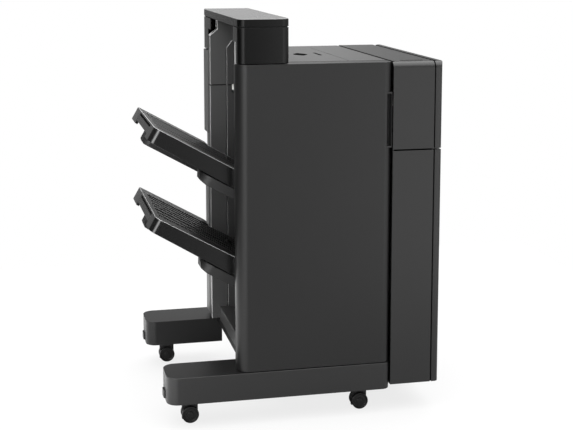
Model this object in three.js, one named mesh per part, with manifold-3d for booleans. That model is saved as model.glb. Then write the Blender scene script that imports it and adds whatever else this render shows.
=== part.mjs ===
// Floor-standing stapling and stacking finisher for an office laser printer.
// Millimetres, +Z up. While it is built, X runs right from the left edge of the front door,
// Y runs back from the front face of the front leg, and Z is the height above the floor.
// The finished group is shifted so that its origin is at the middle of its footprint.

import * as THREE from 'three';
import { mergeVertices } from 'three/addons/utils/BufferGeometryUtils.js';
import Module from 'manifold-3d';

// Heights above the floor and of what stands on it
const casterHeight = 65.8;
const legHeight = 71.1;
const doorHeight = 788;
const headHeight = 113.6;
const capHeight = 20;
const seam = 1.5;
const capSeam = 2;

// Widths, from left to right
const towerWidth = 403.7;
const dockGap = 2.8;
const dockWidth = 113.3;
const panelSeam = 3.5;
const panelThickness = 16.1;

// Depths, from front to back
const legWidth = 118;
const legPitch = 486;
const doorSetback = 3.8;
const bodyDepth = 551.2;

// Stock and clearances
const wall = 3;
const sheet = 2.5;
const fit = 0.3;
const running = 0.4;
const overrun = 5;

// Legs
const legReach = 182;
const legRadius = 30;
const legRightRadius = 20;
const rearLegEnd = 40;
const rearFootLength = 130;
const beamWidth = 60;
const beamHeight = 54;
const beamWall = 3;
const beamEndInset = 34;
const riserWidth = 22;
const bumperReach = 5;
const bumperWidth = 30;
const bumperHeight = 20;
const bumperRise = 6;

// Casters, each a pair of wheels on one axle under a hood
const casterInset = 64;
const casterRightInset = 69.1;
const wheelRadius = 22.4;
const wheelWidth = 11;
const wheelGap = 12;
const wheelSides = 16;
const hubRadius = 9;
const axleRadius = 3.2;
const hoodWidth = 10;
const hoodHalfLength = 20.5;
const hoodRoof = 15.5;
const hoodClearance = 4.5;
const hoodDrop = 14;
const stemRadius = 5;
const stemLength = 26;
const casterTrail = 6;

// Base frame and the bottom of the paper bay
const panBottom = 133.7;
const panHeight = 16.0;
const floorThickness = 3;
const sillSetback = 24;
const sillTop = 190;

// Paper bay in the left side
const postInset = 8;
const postFront = 51;
const bayNear = 78;
const bayFar = 427;
const bayDepth = 78;
const bayWallLeft = 1;
const bayWallThickness = 25;
const bayWallRun = 46;
const bayWallBottom = 155;
const bayWallTopRun = 21.5;
const bayWallTopCut = 17.3;
const bayWallWingBottom = 930;
const bayWallShoulderRise = 44.6;
const columnLeft = 2.4;
const columnBottom = 157;
const columnNotchHeight = 48;
const columnNotchDrop = 238.4;
const columnNotchDepth = 12;
const lowerColumnDepth = 52;
const slotWidth = 26;
const slotDepth = 60;
const fenceRise = 19.6;
const flangeReach = 30.5;
const flangeThickness = 7;
const nearFlangeThickness = 2;
const gableRise = 20;
const fenceSlotWidth = 12;
const postRise = 53.6;

// Front door
const doorDepth = 61.2;
const doorLeftDepth = 40.2;
const doorLeftRadius = 30;
const doorRightRadius = 22;
const doorReliefRun = 80;
const gripWidth = 12;
const gripHeight = 135;
const gripDrop = 80.4;
const gripDepth = 21;
const gripLip = 2.7;
const gripWall = 4;
const hingeX = 9;
const hingeY = 38;
const hingePinRadius = 2.5;
const hingeArmRadius = 5;
const hingeArmThickness = 5;
const hingeArmLength = 26;
const hingeRise = 6;

// Head that leans over the bay
const headLeft = 4.8;
const headWidth = 131.2;
const headSetback = 7.8;
const headRadius = 19;
const headBackRadius = 6;
const headNearDepth = 73.2;
const headFarFront = 435;
const headStepRise = 60.6;
const capLipWidth = 3;

// Top cover and its jam door
const topSkirt = 15;
const topFront = 66.5;
const topDoorLeft = 139;
const topDoorRightInset = 98.2;
const topDoorFront = 71.5;
const topDoorBackInset = 52.5;
const topDoorSkirt = 8;
const topHingeInset = 9;
const topHingeDrop = 5.4;
const topPinRadius = 2;
const topPinLength = 14;
const recessWidth = 38;
const recessDepth = 80;
const recessFloor = 10;
const recessOffset = 3.75;
const recessSetback = 17;
const slitWidth = 6;
const slitDepth = 83;
const slitInset = 28.5;
const slitFloor = 4;

// Docking unit on the right
const dockBottom = 73.8;
const dockSetback = 7.7;
const dockDepth = 560;
const dockSplitDrop = 227.8;
const dockSplitGap = 4;
const dockTopRadius = 18;
const dockSlitLength = 62;
const dockSlitInset = 27;
const dockSlitY = 42;
const dockSlitWidth = 5;
const panelRadius = 11;
const panelNotch = 8;
const entryDrop = 114.4;
const entryGap = 14;
const entryWidth = 330;
const dockFrameDrop = 146.4;

// Trays
const trayPitch = 231;
const upperTrayHeight = 615.3;
const fenceGap = 3;
const traySlopeShare = 0.56;
const trayLength = 309.3;
const trayHeight = 46.5;
const trayTipHeight = 37.6;
const wingReach = 85;
const wingEnd = 91;
const wingRadius = 12;
const trayNearGap = 4;
const trayFarGap = 2;
const trayCornerRadius = 18.6;
const trayFarRadius = 6;
const trayWall = 3;
const trayEndWall = 8;
const trayRim = 2;
const rimSetback = 18;
const rimNear = 54;
const rimFar = 44;
const trayDeck = 3;
const extensionNear = 75;
const extensionWidth = 250;
const extensionTop = 5;
const extensionGap = 4;
const extensionHeight = 19;
const extensionPlate = 4;
const extensionSheet = 3;
const extensionLength = 250;
const extensionSideInset = 4;
const housingNear = 228;
const housingWidth = 68;
const housingDrop = 70;
const housingEnd = 281;
const housingChamfer = 5;
const bracketLeftTop = 150;
const bracketLeftLow = 140;
const bracketCorner = 123;
const bracketDrop = 70.5;
const bracketStep = 67;
const bracketRadius = 38;
const cornerSides = 32;
const bracketDepth = 64;
const crossbeamRun = 60;
const bracketInset = 2;

// Lift: arms of each tray reach through the fence to pinions that climb two racks
const armInset = 31;
const armThickness = 6;
const armTop = 35;
const armDrop = 75;
const armRun = 40;
const armRoot = 20;
const shaftDrop = 55;
const shaftRadius = 4;
const shaftOverhang = 4;
const gearModule = 3;
const pinionTeeth = 10;
const pressureAngle = Math.PI / 7.2;
const addendumShare = 0.8;
const dedendumShare = 0.95;
const backlash = 0.5;
const rackWidth = 10;
const rackGap = 4;
const rackBase = 4;
const upperRootDrop = 22.5;
const lowerRootRise = 96.9;

// Steel side frames inside the tower
const frontFrameY = 68;
const rearFrameInset = 48;
const frameDrop = 18.4;
const frameHeadLeft = 84;
const frameHeadRight = 132;
const frameHeadRise = 81.6;

// Paper path: driven rollers, their belts and the stapler
const rollerRadius = 12;
const rollerWidth = 24;
const rollerSides = 12;
const rollerShaftRadius = 4;
const entryRollerInset = 43.7;
const transportRollerX = 190;
const exitRollerX = 94;
const exitRise = 43.4;
const nip = 0.6;
const pulleyRadius = 14;
const pulleyWidth = 8;
const motorPulleyRadius = 8;
const motorOffset = 60;
const motorDrop = 226.4;
const motorRadius = 25;
const motorLength = 34;
const beltThickness = 1.6;
const beltLaneGap = 4;
const catchDepth = 8;
const knobRadius = 18;
const knobLength = 16;
const knobGap = 4;
const guideThickness = 2;
const guideGap = 10;
const guideMargin = 18;
const turnX = 124;
const staplerX = 162;
const staplerDrop = 88.4;
const staplerLength = 62;
const staplerDepth = 70;
const staplerHeight = 56;
const staplerMouth = 8;
const staplerMouthDepth = 26;
const staplerY = 110;
const cartridgeWidth = 22;
const cartridgeHeight = 18;
const cartridgeReach = 12;
const railRadius = 4;
const railDrop = 1;
const leverX = 200;
const leverDrop = 326.4;
const leverLength = 70;
const leverWidth = 16;
const leverThickness = 6;
const leverPinRadius = 4;
const leverGap = 3;
const boardInset = 43.7;
const boardZ = 330;
const boardWidth = 150;
const boardHeight = 120;
const boardThickness = 1.6;
const boardStandoff = 8;
const boardPost = 4;
const chipHeight = 7;
const flagX = 71.8;
const flagDrop = 104.4;
const flagHeight = 20;
const flagWidth = 6;
const flagThickness = 2;
const flagPinRadius = 1.5;

// Places that follow from the sizes above
const legTop = casterHeight + legHeight;
const doorBottom = legTop + seam;
const bodyTop = doorBottom + doorHeight;
const headTop = bodyTop + headHeight;
const postTop = bodyTop + postRise;
const bayWallShoulder = bodyTop + bayWallShoulderRise;
const fenceTop = bodyTop + fenceRise;
const headStep = bodyTop + headStepRise;
const gripTop = bodyTop - gripDrop;
const gripBottom = gripTop - gripHeight;
const dockSplit = bodyTop - dockSplitDrop;
const dockFrameTop = bodyTop - dockFrameDrop;
const entryHeight = bodyTop - entryDrop;
const exitHeight = bodyTop + exitRise;
const motorZ = bodyTop - motorDrop;
const staplerZ = bodyTop - staplerDrop;
const leverZ = bodyTop - leverDrop;
const frameTop = bodyTop - frameDrop;
const frameHeadTop = bodyTop + frameHeadRise;
const columnNotchTop = bodyTop - columnNotchDrop;
const columnNotchBottom = columnNotchTop - columnNotchHeight;
const flagZ = bodyTop - flagDrop;
const capBottom = headTop - capHeight;
const housingTop = capBottom - capSeam;
const headBottom = bodyTop + seam;
const headRight = headLeft + headWidth;
const headNearBack = headSetback + headNearDepth;
const bodyBack = doorSetback + bodyDepth;
const rearFrameY = bodyBack - rearFrameInset;
const legsBack = legPitch + legWidth;
const doorBack = doorSetback + doorDepth;
const entryRollerX = towerWidth - entryRollerInset;
const motorX = entryRollerX - motorOffset;
const boardX = towerWidth - boardInset - boardWidth;
const topDoorRight = towerWidth - topDoorRightInset;
const topDoorBack = bodyBack - topDoorBackInset;
const recessX = (topDoorLeft + topDoorRight) / 2 + recessOffset;
const recessY = (topDoorFront + topDoorBack) / 2 - recessSetback;
const slitX = topDoorRight - slitInset;
const dockLeft = towerWidth + dockGap;
const dockSlitX = dockLeft + dockSlitInset;
const dockRight = dockLeft + dockWidth;
const panelLeft = dockRight + panelSeam;
const towerRight = panelLeft + panelThickness;
const dockFront = dockSetback;
const dockBack = dockFront + dockDepth;
const panTop = panBottom + panHeight;
const floorTop = panTop + floorThickness;
const bayWallBack = bayFar + bayWallThickness;
const slotBack = bayWallBack + slotWidth;
const fenceBack = bayDepth + sheet;
const traySlope = Math.atan(traySlopeShare);
const trayNear = bayNear + trayNearGap;
const trayFar = bayFar - flangeThickness - trayFarGap;
const trayRootX = bayDepth - fenceGap;
const lowerTrayHeight = upperTrayHeight - trayPitch;
const upperRootTop = bodyTop - upperRootDrop;
const lowerRootBottom = sillTop + lowerRootRise;
const wheelCentre = wheelRadius * Math.cos(Math.PI / wheelSides);
const frontCasterY = legWidth / 2;
const rearCasterY = legPitch + legWidth / 2;
const leftCasterX = casterInset - legReach;
const rightCasterX = towerWidth - casterRightInset;
const pinionRadius = gearModule * pinionTeeth / 2;
const rackPitch = Math.PI * gearModule;
const addendum = gearModule * addendumShare;
const dedendum = gearModule * dedendumShare;
const rackLine = fenceBack + fit + rackBase + dedendum;
const pinionX = rackLine + pinionRadius;
const nearArmY = trayNear + armInset;
const farArmY = trayFar - armInset - armThickness;
const nearRackY = nearArmY + armThickness + rackGap;
const farRackY = farArmY - rackGap - rackWidth;
const rackBottom = lowerRootBottom - shaftDrop - pinionRadius;
const rackTop = upperRootTop - shaftDrop + pinionRadius;
const fenceSlotBottom = lowerRootBottom - armDrop - overrun;
const fenceSlotTop = upperRootTop - armTop + overrun;
const rollerZ = entryHeight - rollerRadius;
const entryNear = (bayNear + bayFar - entryWidth) / 2;
const pulleyFront = rearFrameY + sheet + beltLaneGap;
const exitLaneFront = pulleyFront + pulleyWidth + beltLaneGap;
const guideNear = entryNear - guideMargin / 2;
const guideFar = entryNear + entryWidth + guideMargin / 2;
const guideUnder = entryHeight - guideGap / 2;
const guideOver = entryHeight + guideGap / 2;
const leftReach = trayLength * Math.cos(traySlope) + trayTipHeight * Math.sin(traySlope);
const trayTip = trayRootX - leftReach;

const loaded = await Module();
loaded.setup();
const { Manifold, Mesh } = loaded;

// A closed three.js geometry as a solid that can be joined and cut
function solid(geometry) {
  geometry.deleteAttribute('normal');
  geometry.deleteAttribute('uv');
  const merged = mergeVertices(geometry);
  const places = merged.getAttribute('position');
  return new Manifold(new Mesh({
    numProp: 3,
    vertProperties: new Float32Array(places.array),
    triVerts: new Uint32Array(merged.getIndex().array),
  }));
}

// The geometry of a finished solid
function surface(body) {
  const mesh = body.getMesh();
  const geometry = new THREE.BufferGeometry();
  geometry.setAttribute('position', new THREE.BufferAttribute(mesh.vertProperties, 3));
  geometry.setIndex(new THREE.BufferAttribute(mesh.triVerts, 1));
  geometry.computeVertexNormals();
  return geometry;
}

function join(first, ...others) {
  return others.reduce((whole, other) => whole.add(other), first);
}

function carve(first, ...others) {
  return others.reduce((whole, other) => whole.subtract(other), first);
}

// A block between two opposite corners
function block(x0, x1, y0, y1, z0, z1) {
  const geometry = new THREE.BoxGeometry(x1 - x0, y1 - y0, z1 - z0);
  geometry.translate((x0 + x1) / 2, (y0 + y1) / 2, (z0 + z1) / 2);
  return solid(geometry);
}

// A rectangle with a radius at each corner: left front, right front, right back, left back
function roundedOutline(x0, x1, y0, y1, radii) {
  const outline = new THREE.Shape();
  const corners = [
    [x0, y0, 1, 1, Math.PI],
    [x1, y0, -1, 1, -Math.PI / 2],
    [x1, y1, -1, -1, 0],
    [x0, y1, 1, -1, Math.PI / 2],
  ];
  corners.forEach(([x, y, towardX, towardY, start], index) => {
    const radius = radii[index];
    if (radius > 0) {
      outline.absarc(x + towardX * radius, y + towardY * radius, radius, start, start + Math.PI / 2, false);
    } else if (index === 0) {
      outline.moveTo(x, y);
    } else {
      outline.lineTo(x, y);
    }
  });
  outline.closePath();
  return outline;
}

// A block with upright corners rounded in plan
function roundedBlock(x0, x1, y0, y1, z0, z1, radii, steps = 3) {
  const settings = { depth: z1 - z0, bevelEnabled: false, curveSegments: steps };
  const geometry = new THREE.ExtrudeGeometry(roundedOutline(x0, x1, y0, y1, radii), settings);
  geometry.translate(0, 0, z0);
  return solid(geometry);
}

function polygon(points) {
  return new THREE.Shape(points.map(([a, b]) => new THREE.Vector2(a, b)));
}

// An outline in X and Y, raised from z0 to z1
function upright(outline, z0, z1, steps = 3) {
  const settings = { depth: z1 - z0, bevelEnabled: false, curveSegments: steps };
  const geometry = new THREE.ExtrudeGeometry(outline, settings);
  geometry.translate(0, 0, z0);
  return solid(geometry);
}

// An outline in X and Z, carried from y0 back to y1
function crosswise(outline, y0, y1, steps = 3) {
  const settings = { depth: y1 - y0, bevelEnabled: false, curveSegments: steps };
  const geometry = new THREE.ExtrudeGeometry(outline, settings);
  geometry.rotateX(Math.PI / 2);
  geometry.translate(0, y1, 0);
  return solid(geometry);
}

// An outline in Y and Z, carried from x0 right to x1
function lengthwise(outline, x0, x1, steps = 3) {
  const settings = { depth: x1 - x0, bevelEnabled: false, curveSegments: steps };
  const geometry = new THREE.ExtrudeGeometry(outline, settings);
  const turn = new THREE.Matrix4().makeBasis(
    new THREE.Vector3(0, 1, 0),
    new THREE.Vector3(0, 0, 1),
    new THREE.Vector3(1, 0, 0),
  );
  geometry.applyMatrix4(turn);
  geometry.translate(x0, 0, 0);
  return solid(geometry);
}

// A round bar along Y, with a flat facet underneath
function barY(x, z, y0, y1, radius, sides = rollerSides) {
  const geometry = new THREE.CylinderGeometry(
    radius, radius, y1 - y0, sides, 1, false, Math.PI / sides,
  );
  geometry.translate(x, (y0 + y1) / 2, z);
  return solid(geometry);
}

// A round bar along Z
function barZ(x, y, z0, z1, radius, sides = rollerSides) {
  const geometry = new THREE.CylinderGeometry(radius, radius, z1 - z0, sides);
  geometry.rotateX(Math.PI / 2);
  geometry.translate(x, y, (z0 + z1) / 2);
  return solid(geometry);
}

// A round bar along X
function barX(y, z, x0, x1, radius, sides = rollerSides) {
  const geometry = new THREE.CylinderGeometry(radius, radius, x1 - x0, sides);
  geometry.rotateZ(Math.PI / 2);
  geometry.translate((x0 + x1) / 2, y, z);
  return solid(geometry);
}

// The radius of a hole whose flats clear a round bar
function holeFor(radius, sides = rollerSides) {
  return (radius + running) / Math.cos(Math.PI / sides);
}

const finisher = new THREE.Group();

function finish(colour, roughness, metalness) {
  return () => new THREE.MeshStandardMaterial({ color: colour, roughness, metalness });
}

const charcoal = finish(0x3a3a3c, 0.55, 0);
const darkPlastic = finish(0x2b2b2d, 0.6, 0);
const innerPlastic = finish(0x202022, 0.65, 0);
const steel = finish(0x9a9da0, 0.4, 0.9);
const rubber = finish(0x171717, 0.85, 0);
const wheelPlastic = finish(0x1b1b1c, 0.5, 0);
const paleNylon = finish(0xd8d8d2, 0.5, 0);
const greenPlastic = finish(0x2f7d4f, 0.5, 0);
const boardGreen = finish(0x1f5a3a, 0.5, 0);

function addPiece(name, body, material, parent = finisher) {
  const piece = new THREE.Mesh(surface(body), material());
  piece.name = name;
  parent.add(piece);
  return piece;
}

// Legs: hollow covers over steel beams, open underneath
function legCover(x0, x1, y0, radii) {
  const outer = roundedBlock(x0, x1, y0, y0 + legWidth, casterHeight, legTop, radii);
  const innerRadii = radii.map((radius) => Math.max(radius - wall, 0));
  const inner = roundedBlock(
    x0 + wall, x1 - wall, y0 + wall, y0 + legWidth - wall,
    casterHeight - overrun, legTop - wall, innerRadii,
  );
  return carve(outer, inner);
}

function legBeam(x0, x1, y, casterXs) {
  const top = legTop - wall - fit;
  const outer = block(x0, x1, y - beamWidth / 2, y + beamWidth / 2, top - beamHeight, top);
  const inner = block(
    x0 - overrun, x1 + overrun, y - beamWidth / 2 + beamWall, y + beamWidth / 2 - beamWall,
    top - beamHeight + beamWall, top - beamWall,
  );
  const holes = casterXs.map((x) => barZ(
    x + casterTrail, y, top - beamHeight - overrun, top - beamHeight + beamWall + overrun, holeFor(stemRadius),
  ));
  return carve(outer, inner, ...holes);
}

// The dark bumper on the left end of a leg
function bumper(y) {
  const z = casterHeight + bumperRise;
  return block(
    -legReach - bumperReach, wall / 2 - legReach, y - bumperWidth / 2, y + bumperWidth / 2, z, z + bumperHeight,
  );
}

addPiece('front_leg_cover', join(
  legCover(-legReach, towerWidth, 0, [legRadius, legRightRadius, 0, legRadius]), bumper(frontCasterY),
), charcoal);
addPiece('rear_leg_cover', join(
  legCover(-legReach, rearLegEnd, legPitch, [legRadius, 0, 0, legRadius]), bumper(rearCasterY),
), charcoal);
addPiece('rear_foot_cover', legCover(
  towerWidth - rearFootLength, towerWidth, legPitch, [0, 0, legRightRadius, 0],
), charcoal);

function riser(x) {
  return block(x, x + riserWidth, legPitch - fit - sheet, rearCasterY, legTop + fit, panTop);
}

addPiece('front_leg_beam', legBeam(
  beamEndInset - legReach, towerWidth - beamEndInset, frontCasterY, [leftCasterX, rightCasterX],
), steel);
addPiece('rear_leg_beam', legBeam(
  beamEndInset - legReach, rearLegEnd - wall - fit, rearCasterY, [leftCasterX],
), steel);
addPiece('rear_foot_beam', legBeam(
  towerWidth - rearFootLength + wall + fit, towerWidth - wall - fit, rearCasterY, [rightCasterX],
), steel);

// Casters
function casterHood(x, y) {
  const pivot = x + casterTrail;
  const roofBottom = wheelCentre + wheelRadius + hoodClearance;
  const roofTop = roofBottom + hoodRoof;
  const halfTrack = wheelGap / 2 + wheelWidth;
  const web = block(
    x - hoodHalfLength, x + hoodHalfLength, y - hoodWidth / 2, y + hoodWidth / 2,
    wheelCentre - hoodDrop, roofTop,
  );
  const roof = roundedBlock(
    x - hoodHalfLength, x + hoodHalfLength, y - halfTrack, y + halfTrack, roofBottom, roofTop,
    [hubRadius, hubRadius, hubRadius, hubRadius], 2,
  );
  const stem = barZ(pivot, y, roofTop - hoodRoof / 2, roofTop + stemLength, stemRadius);
  const axleHole = barY(
    x, wheelCentre, y - hoodWidth, y + hoodWidth, holeFor(axleRadius),
  );
  return carve(join(web, roof, stem), axleHole);
}

function casterWheels(x, y) {
  const axle = barY(x, wheelCentre, y - wheelGap / 2 - wheelWidth / 2, y + wheelGap / 2 + wheelWidth / 2, axleRadius);
  const rims = [-1, 1].map((side) => {
    const inner = y + side * wheelGap / 2;
    const outer = y + side * (wheelGap / 2 + wheelWidth);
    const dishDepth = wheelWidth / 4;
    const disc = barY(x, wheelCentre, Math.min(inner, outer), Math.max(inner, outer), wheelRadius, wheelSides);
    const dish = barY(
      x, wheelCentre, Math.min(outer - side * dishDepth, outer + side * overrun),
      Math.max(outer - side * dishDepth, outer + side * overrun), wheelRadius - hubRadius / 2, wheelSides,
    );
    const hub = barY(
      x, wheelCentre, Math.min(outer - side * dishDepth * 2, outer),
      Math.max(outer - side * dishDepth * 2, outer), hubRadius, rollerSides,
    );
    return join(carve(disc, dish), hub);
  });
  return join(axle, ...rims);
}

const casterPlaces = {
  front_left: [leftCasterX, frontCasterY],
  front_right: [rightCasterX, frontCasterY],
  rear_left: [leftCasterX, rearCasterY],
  rear_right: [rightCasterX, rearCasterY],
};
Object.entries(casterPlaces).forEach(([corner, [x, y]]) => {
  addPiece(`caster_hood_${corner}`, casterHood(x, y), wheelPlastic);
  addPiece(`caster_wheels_${corner}`, casterWheels(x, y), rubber);
});

// Base frame: a shallow pan between the legs with the tower floor welded on it
const panShell = carve(
  block(sillSetback, towerWidth - wall, legWidth + fit, legPitch - fit, panBottom, panTop),
  block(
    sillSetback + sheet, towerWidth - wall - sheet, legWidth + fit + sheet, legPitch - fit - sheet,
    panBottom - overrun, panTop - sheet,
  ),
);
const floorOutline = polygon([
  [fenceBack + fit, bayNear + fit],
  [towerWidth - wall - fit, bayNear + fit],
  [towerWidth - wall - fit, bodyBack - wall - fit],
  [postInset, bodyBack - wall - fit],
  [postInset, bayWallBack + fit],
  [fenceBack + fit, bayWallBack + fit],
]);
const towerFloor = upright(floorOutline, panTop, floorTop);
addPiece('base_frame', join(
  panShell, towerFloor, riser(rearLegEnd - riserWidth - wall), riser(rightCasterX),
), steel);

// Sill across the bottom of the bay
const sillSection = polygon([
  [sillSetback, panTop + fit],
  [sillSetback + wall, panTop + fit],
  [sillSetback + wall, sillTop - wall],
  [bayDepth - fit, sillTop - wall],
  [bayDepth - fit, sillTop],
  [sillSetback, sillTop],
]);
addPiece('bay_sill', crosswise(sillSection, bayNear + fit, bayFar - fit), charcoal);

// Near post: the left edge of the tower behind the door, and the near wall of the bay
const postOutline = polygon([
  [postInset, postFront],
  [bayDepth, postFront],
  [bayDepth, bayNear],
  [postInset, bayNear],
]);
const postHollow = block(
  postInset + wall, bayDepth + overrun, postFront + wall, bayNear - wall,
  legTop - overrun, postTop + overrun,
);
// A hinge arm that carries a pin for the front door
function hingeArm(z, pinEnd) {
  const disc = barZ(hingeX, hingeY, z, z + hingeArmThickness, hingeArmRadius);
  const bar = block(
    hingeX, hingeX + hingeArmLength, hingeY - hingeArmRadius, hingeY, z, z + hingeArmThickness,
  );
  const foot = block(
    hingeX + hingeArmLength / 2, hingeX + hingeArmLength, hingeY - hingeArmRadius, postFront + wall / 2,
    z, z + hingeArmThickness,
  );
  const pin = barZ(hingeX, hingeY, Math.min(z, pinEnd), Math.max(z, pinEnd), hingePinRadius);
  return join(disc, bar, foot, pin);
}

const lowerArmZ = doorBottom + wall + hingeRise;
const upperArmZ = bodyTop - wall - hingeRise - hingeArmThickness;
addPiece('near_post', join(
  carve(upright(postOutline, legTop + fit, postTop), postHollow),
  hingeArm(lowerArmZ, doorBottom + fit), hingeArm(upperArmZ, bodyTop - fit),
), charcoal);

// Far wall of the bay: an upright channel whose top corner is cut at an angle
const wallOuter = block(
  bayWallLeft, bayWallLeft + bayWallRun, bayFar, bayWallBack, bayWallBottom, housingTop - seam,
);
const wallHollow = block(
  bayWallLeft + wall, bayWallLeft + bayWallRun + overrun, bayFar + wall, bayWallBack - wall,
  bayWallBottom - overrun, housingTop + overrun,
);
const cornerCut = crosswise(polygon([
  [bayWallLeft - overrun, bayWallShoulder],
  [bayWallLeft, bayWallShoulder],
  [bayWallLeft + bayWallTopRun, bayWallShoulder + bayWallTopCut],
  [bayWallLeft + bayWallTopRun, housingTop + overrun],
  [bayWallLeft - overrun, housingTop + overrun],
]), bayFar - overrun, bayWallBack + overrun);
const wallWing = block(
  bayWallLeft + bayWallRun - wall, bayDepth - fit, bayFar, bayFar + wall, bayWallWingBottom, housingTop - seam,
);
addPiece('bay_wall', join(carve(wallOuter, wallHollow, cornerCut), wallWing), charcoal);

// Stack fence: the upright that the paper stacks rest against, with a flange along each side
const gableBottom = fenceTop - gableRise / 2;
const flangeOutline = polygon([
  [bayDepth - flangeReach, sillTop + fit],
  [fenceBack, sillTop + fit],
  [fenceBack, fenceTop],
  [bayDepth - flangeReach / 2, fenceTop + gableRise / 2],
  [bayDepth - flangeReach, gableBottom],
]);
const fencePlate = block(
  bayDepth, fenceBack, bayNear + fit, bayFar - fit, sillTop + fit, fenceTop,
);
const fenceSlots = [nearArmY, farArmY].map((armY) => block(
  bayDepth - overrun, fenceBack + overrun,
  armY + armThickness / 2 - fenceSlotWidth / 2, armY + armThickness / 2 + fenceSlotWidth / 2,
  fenceSlotBottom, fenceSlotTop,
));
const fence = carve(
  join(
    fencePlate,
    crosswise(flangeOutline, bayNear + fit, bayNear + fit + nearFlangeThickness),
    crosswise(flangeOutline, bayFar - flangeThickness, bayFar - fit),
  ),
  ...fenceSlots,
);
const flagSlot = block(
  flagX - flagWidth / 2 - running, flagX + flagWidth / 2 + running,
  bayFar - flangeThickness - overrun, bayFar + overrun,
  flagZ - flagHeight / 2 - overrun, flagZ + flagHeight / 2 + running,
);
const flagPinHole = barX(
  bayFar - flangeThickness / 2, flagZ + flagHeight / 2 - flagPinRadius * 2,
  flagX - flagWidth, flagX + flagWidth, holeFor(flagPinRadius),
);
addPiece('stack_fence', carve(fence, flagSlot, flagPinHole), charcoal);

// Paper sensor flag that hangs in the flange of the fence
const flagTop = flagZ + flagHeight / 2;
const flagY = bayFar - flangeThickness / 2;
const flagPlate = block(
  flagX - flagWidth / 2, flagX + flagWidth / 2, flagY - flagThickness, flagY + flagThickness,
  flagTop - flagHeight, flagTop - running,
);
const flagPin = barX(
  flagY, flagTop - flagPinRadius * 2, flagX - flagWidth + running, flagX + flagWidth - running, flagPinRadius,
);
addPiece('stack_flag', join(flagPlate, flagPin), paleNylon);

// Rear column: the cover behind the dark slot, and the floor of that slot
function columnOutline(left, depth) {
  return polygon([
    [left, slotBack],
    [bayWallLeft + slotDepth, slotBack],
    [bayWallLeft + slotDepth, bayWallBack + fit],
    [bayWallLeft + slotDepth + wall, bayWallBack + fit],
    [bayWallLeft + slotDepth + wall, slotBack + wall],
    [left + wall, slotBack + wall],
    [left + wall, slotBack + depth],
    [columnLeft + columnNotchDepth + wall, bodyBack - wall],
    [headRight, bodyBack - wall],
    [headRight, bodyBack],
    [columnLeft + columnNotchDepth / 2 + wall, bodyBack],
    [left, slotBack + depth],
  ]);
}

const upperDepth = bodyBack - slotBack - wall * 2;
addPiece('rear_column', join(
  upright(columnOutline(columnLeft, lowerColumnDepth), columnBottom, columnNotchBottom),
  upright(
    columnOutline(columnLeft + columnNotchDepth / 2, lowerColumnDepth), columnNotchBottom - wall, columnNotchTop + wall,
  ),
  upright(columnOutline(columnLeft, upperDepth), columnNotchTop, bodyTop - seam),
), charcoal);

// Rear panel
addPiece('rear_panel', block(
  headRight + fit, towerWidth, bodyBack - wall, bodyBack, columnBottom, bodyTop - topSkirt - fit,
), charcoal);

// Side frames of folded sheet, with bearing holes for the roller shafts
const frameOutline = polygon([
  [fenceBack + fit, floorTop + fit],
  [towerWidth - wall - fit * 2, floorTop + fit],
  [towerWidth - wall - fit * 2, frameTop],
  [frameHeadRight, frameTop],
  [frameHeadRight, frameHeadTop],
  [frameHeadLeft, frameHeadTop],
  [frameHeadLeft, frameTop],
  [fenceBack + fit, frameTop],
]);
const exitRollerZ = exitHeight - rollerRadius - nip / 2;
const exitIdlerZ = exitHeight + rollerRadius + nip / 2;
const shaftPlaces = [
  [entryRollerX, rollerZ],
  [transportRollerX, rollerZ],
  [exitRollerX, exitRollerZ],
  [exitRollerX, exitIdlerZ],
];

function sideFrame(y) {
  const plate = crosswise(frameOutline, y, y + sheet);
  const bearings = shaftPlaces.map(([x, z]) => barY(
    x, z, y - overrun, y + sheet + overrun, holeFor(rollerShaftRadius),
  ));
  return carve(plate, ...bearings);
}

const serviceWindow = block(
  frameHeadRight + guideMargin, entryRollerX, frontFrameY - overrun, frontFrameY + sheet + overrun,
  leverZ + leverLength, rollerZ - knobRadius * 2,
);
const staplerWindow = block(
  staplerX - cartridgeReach, staplerX + staplerLength, frontFrameY - overrun, frontFrameY + sheet + overrun,
  staplerZ - railRadius, frameTop - guideMargin / 2,
);
const leverHole = barY(
  leverX, leverZ, frontFrameY - overrun, frontFrameY + sheet + overrun, holeFor(leverPinRadius),
);
const doorCatch = block(
  towerWidth - guideMargin * 2, towerWidth - guideMargin, frontFrameY - catchDepth, frontFrameY + sheet / 2,
  gripTop, gripTop + guideMargin,
);
addPiece('front_frame', join(
  carve(sideFrame(frontFrameY), serviceWindow, staplerWindow, leverHole), doorCatch,
), steel);

const motorHole = barY(
  motorX, motorZ, rearFrameY - overrun, rearFrameY + sheet + overrun, holeFor(rollerShaftRadius),
);
addPiece('rear_frame', carve(sideFrame(rearFrameY), motorHole), steel);

// Right side plate of the tower, with the slot that the paper enters through
const sidePlate = block(
  towerWidth - wall, towerWidth, topFront, bodyBack - wall - fit, floorTop + fit, bodyTop - topSkirt - fit,
);
const sideSlot = block(
  towerWidth - wall - overrun, towerWidth + overrun, guideNear - fit, guideFar + fit,
  guideUnder - guideThickness - fit, guideOver + guideThickness + fit,
);
addPiece('tower_side_plate', carve(sidePlate, sideSlot), charcoal);

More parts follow.
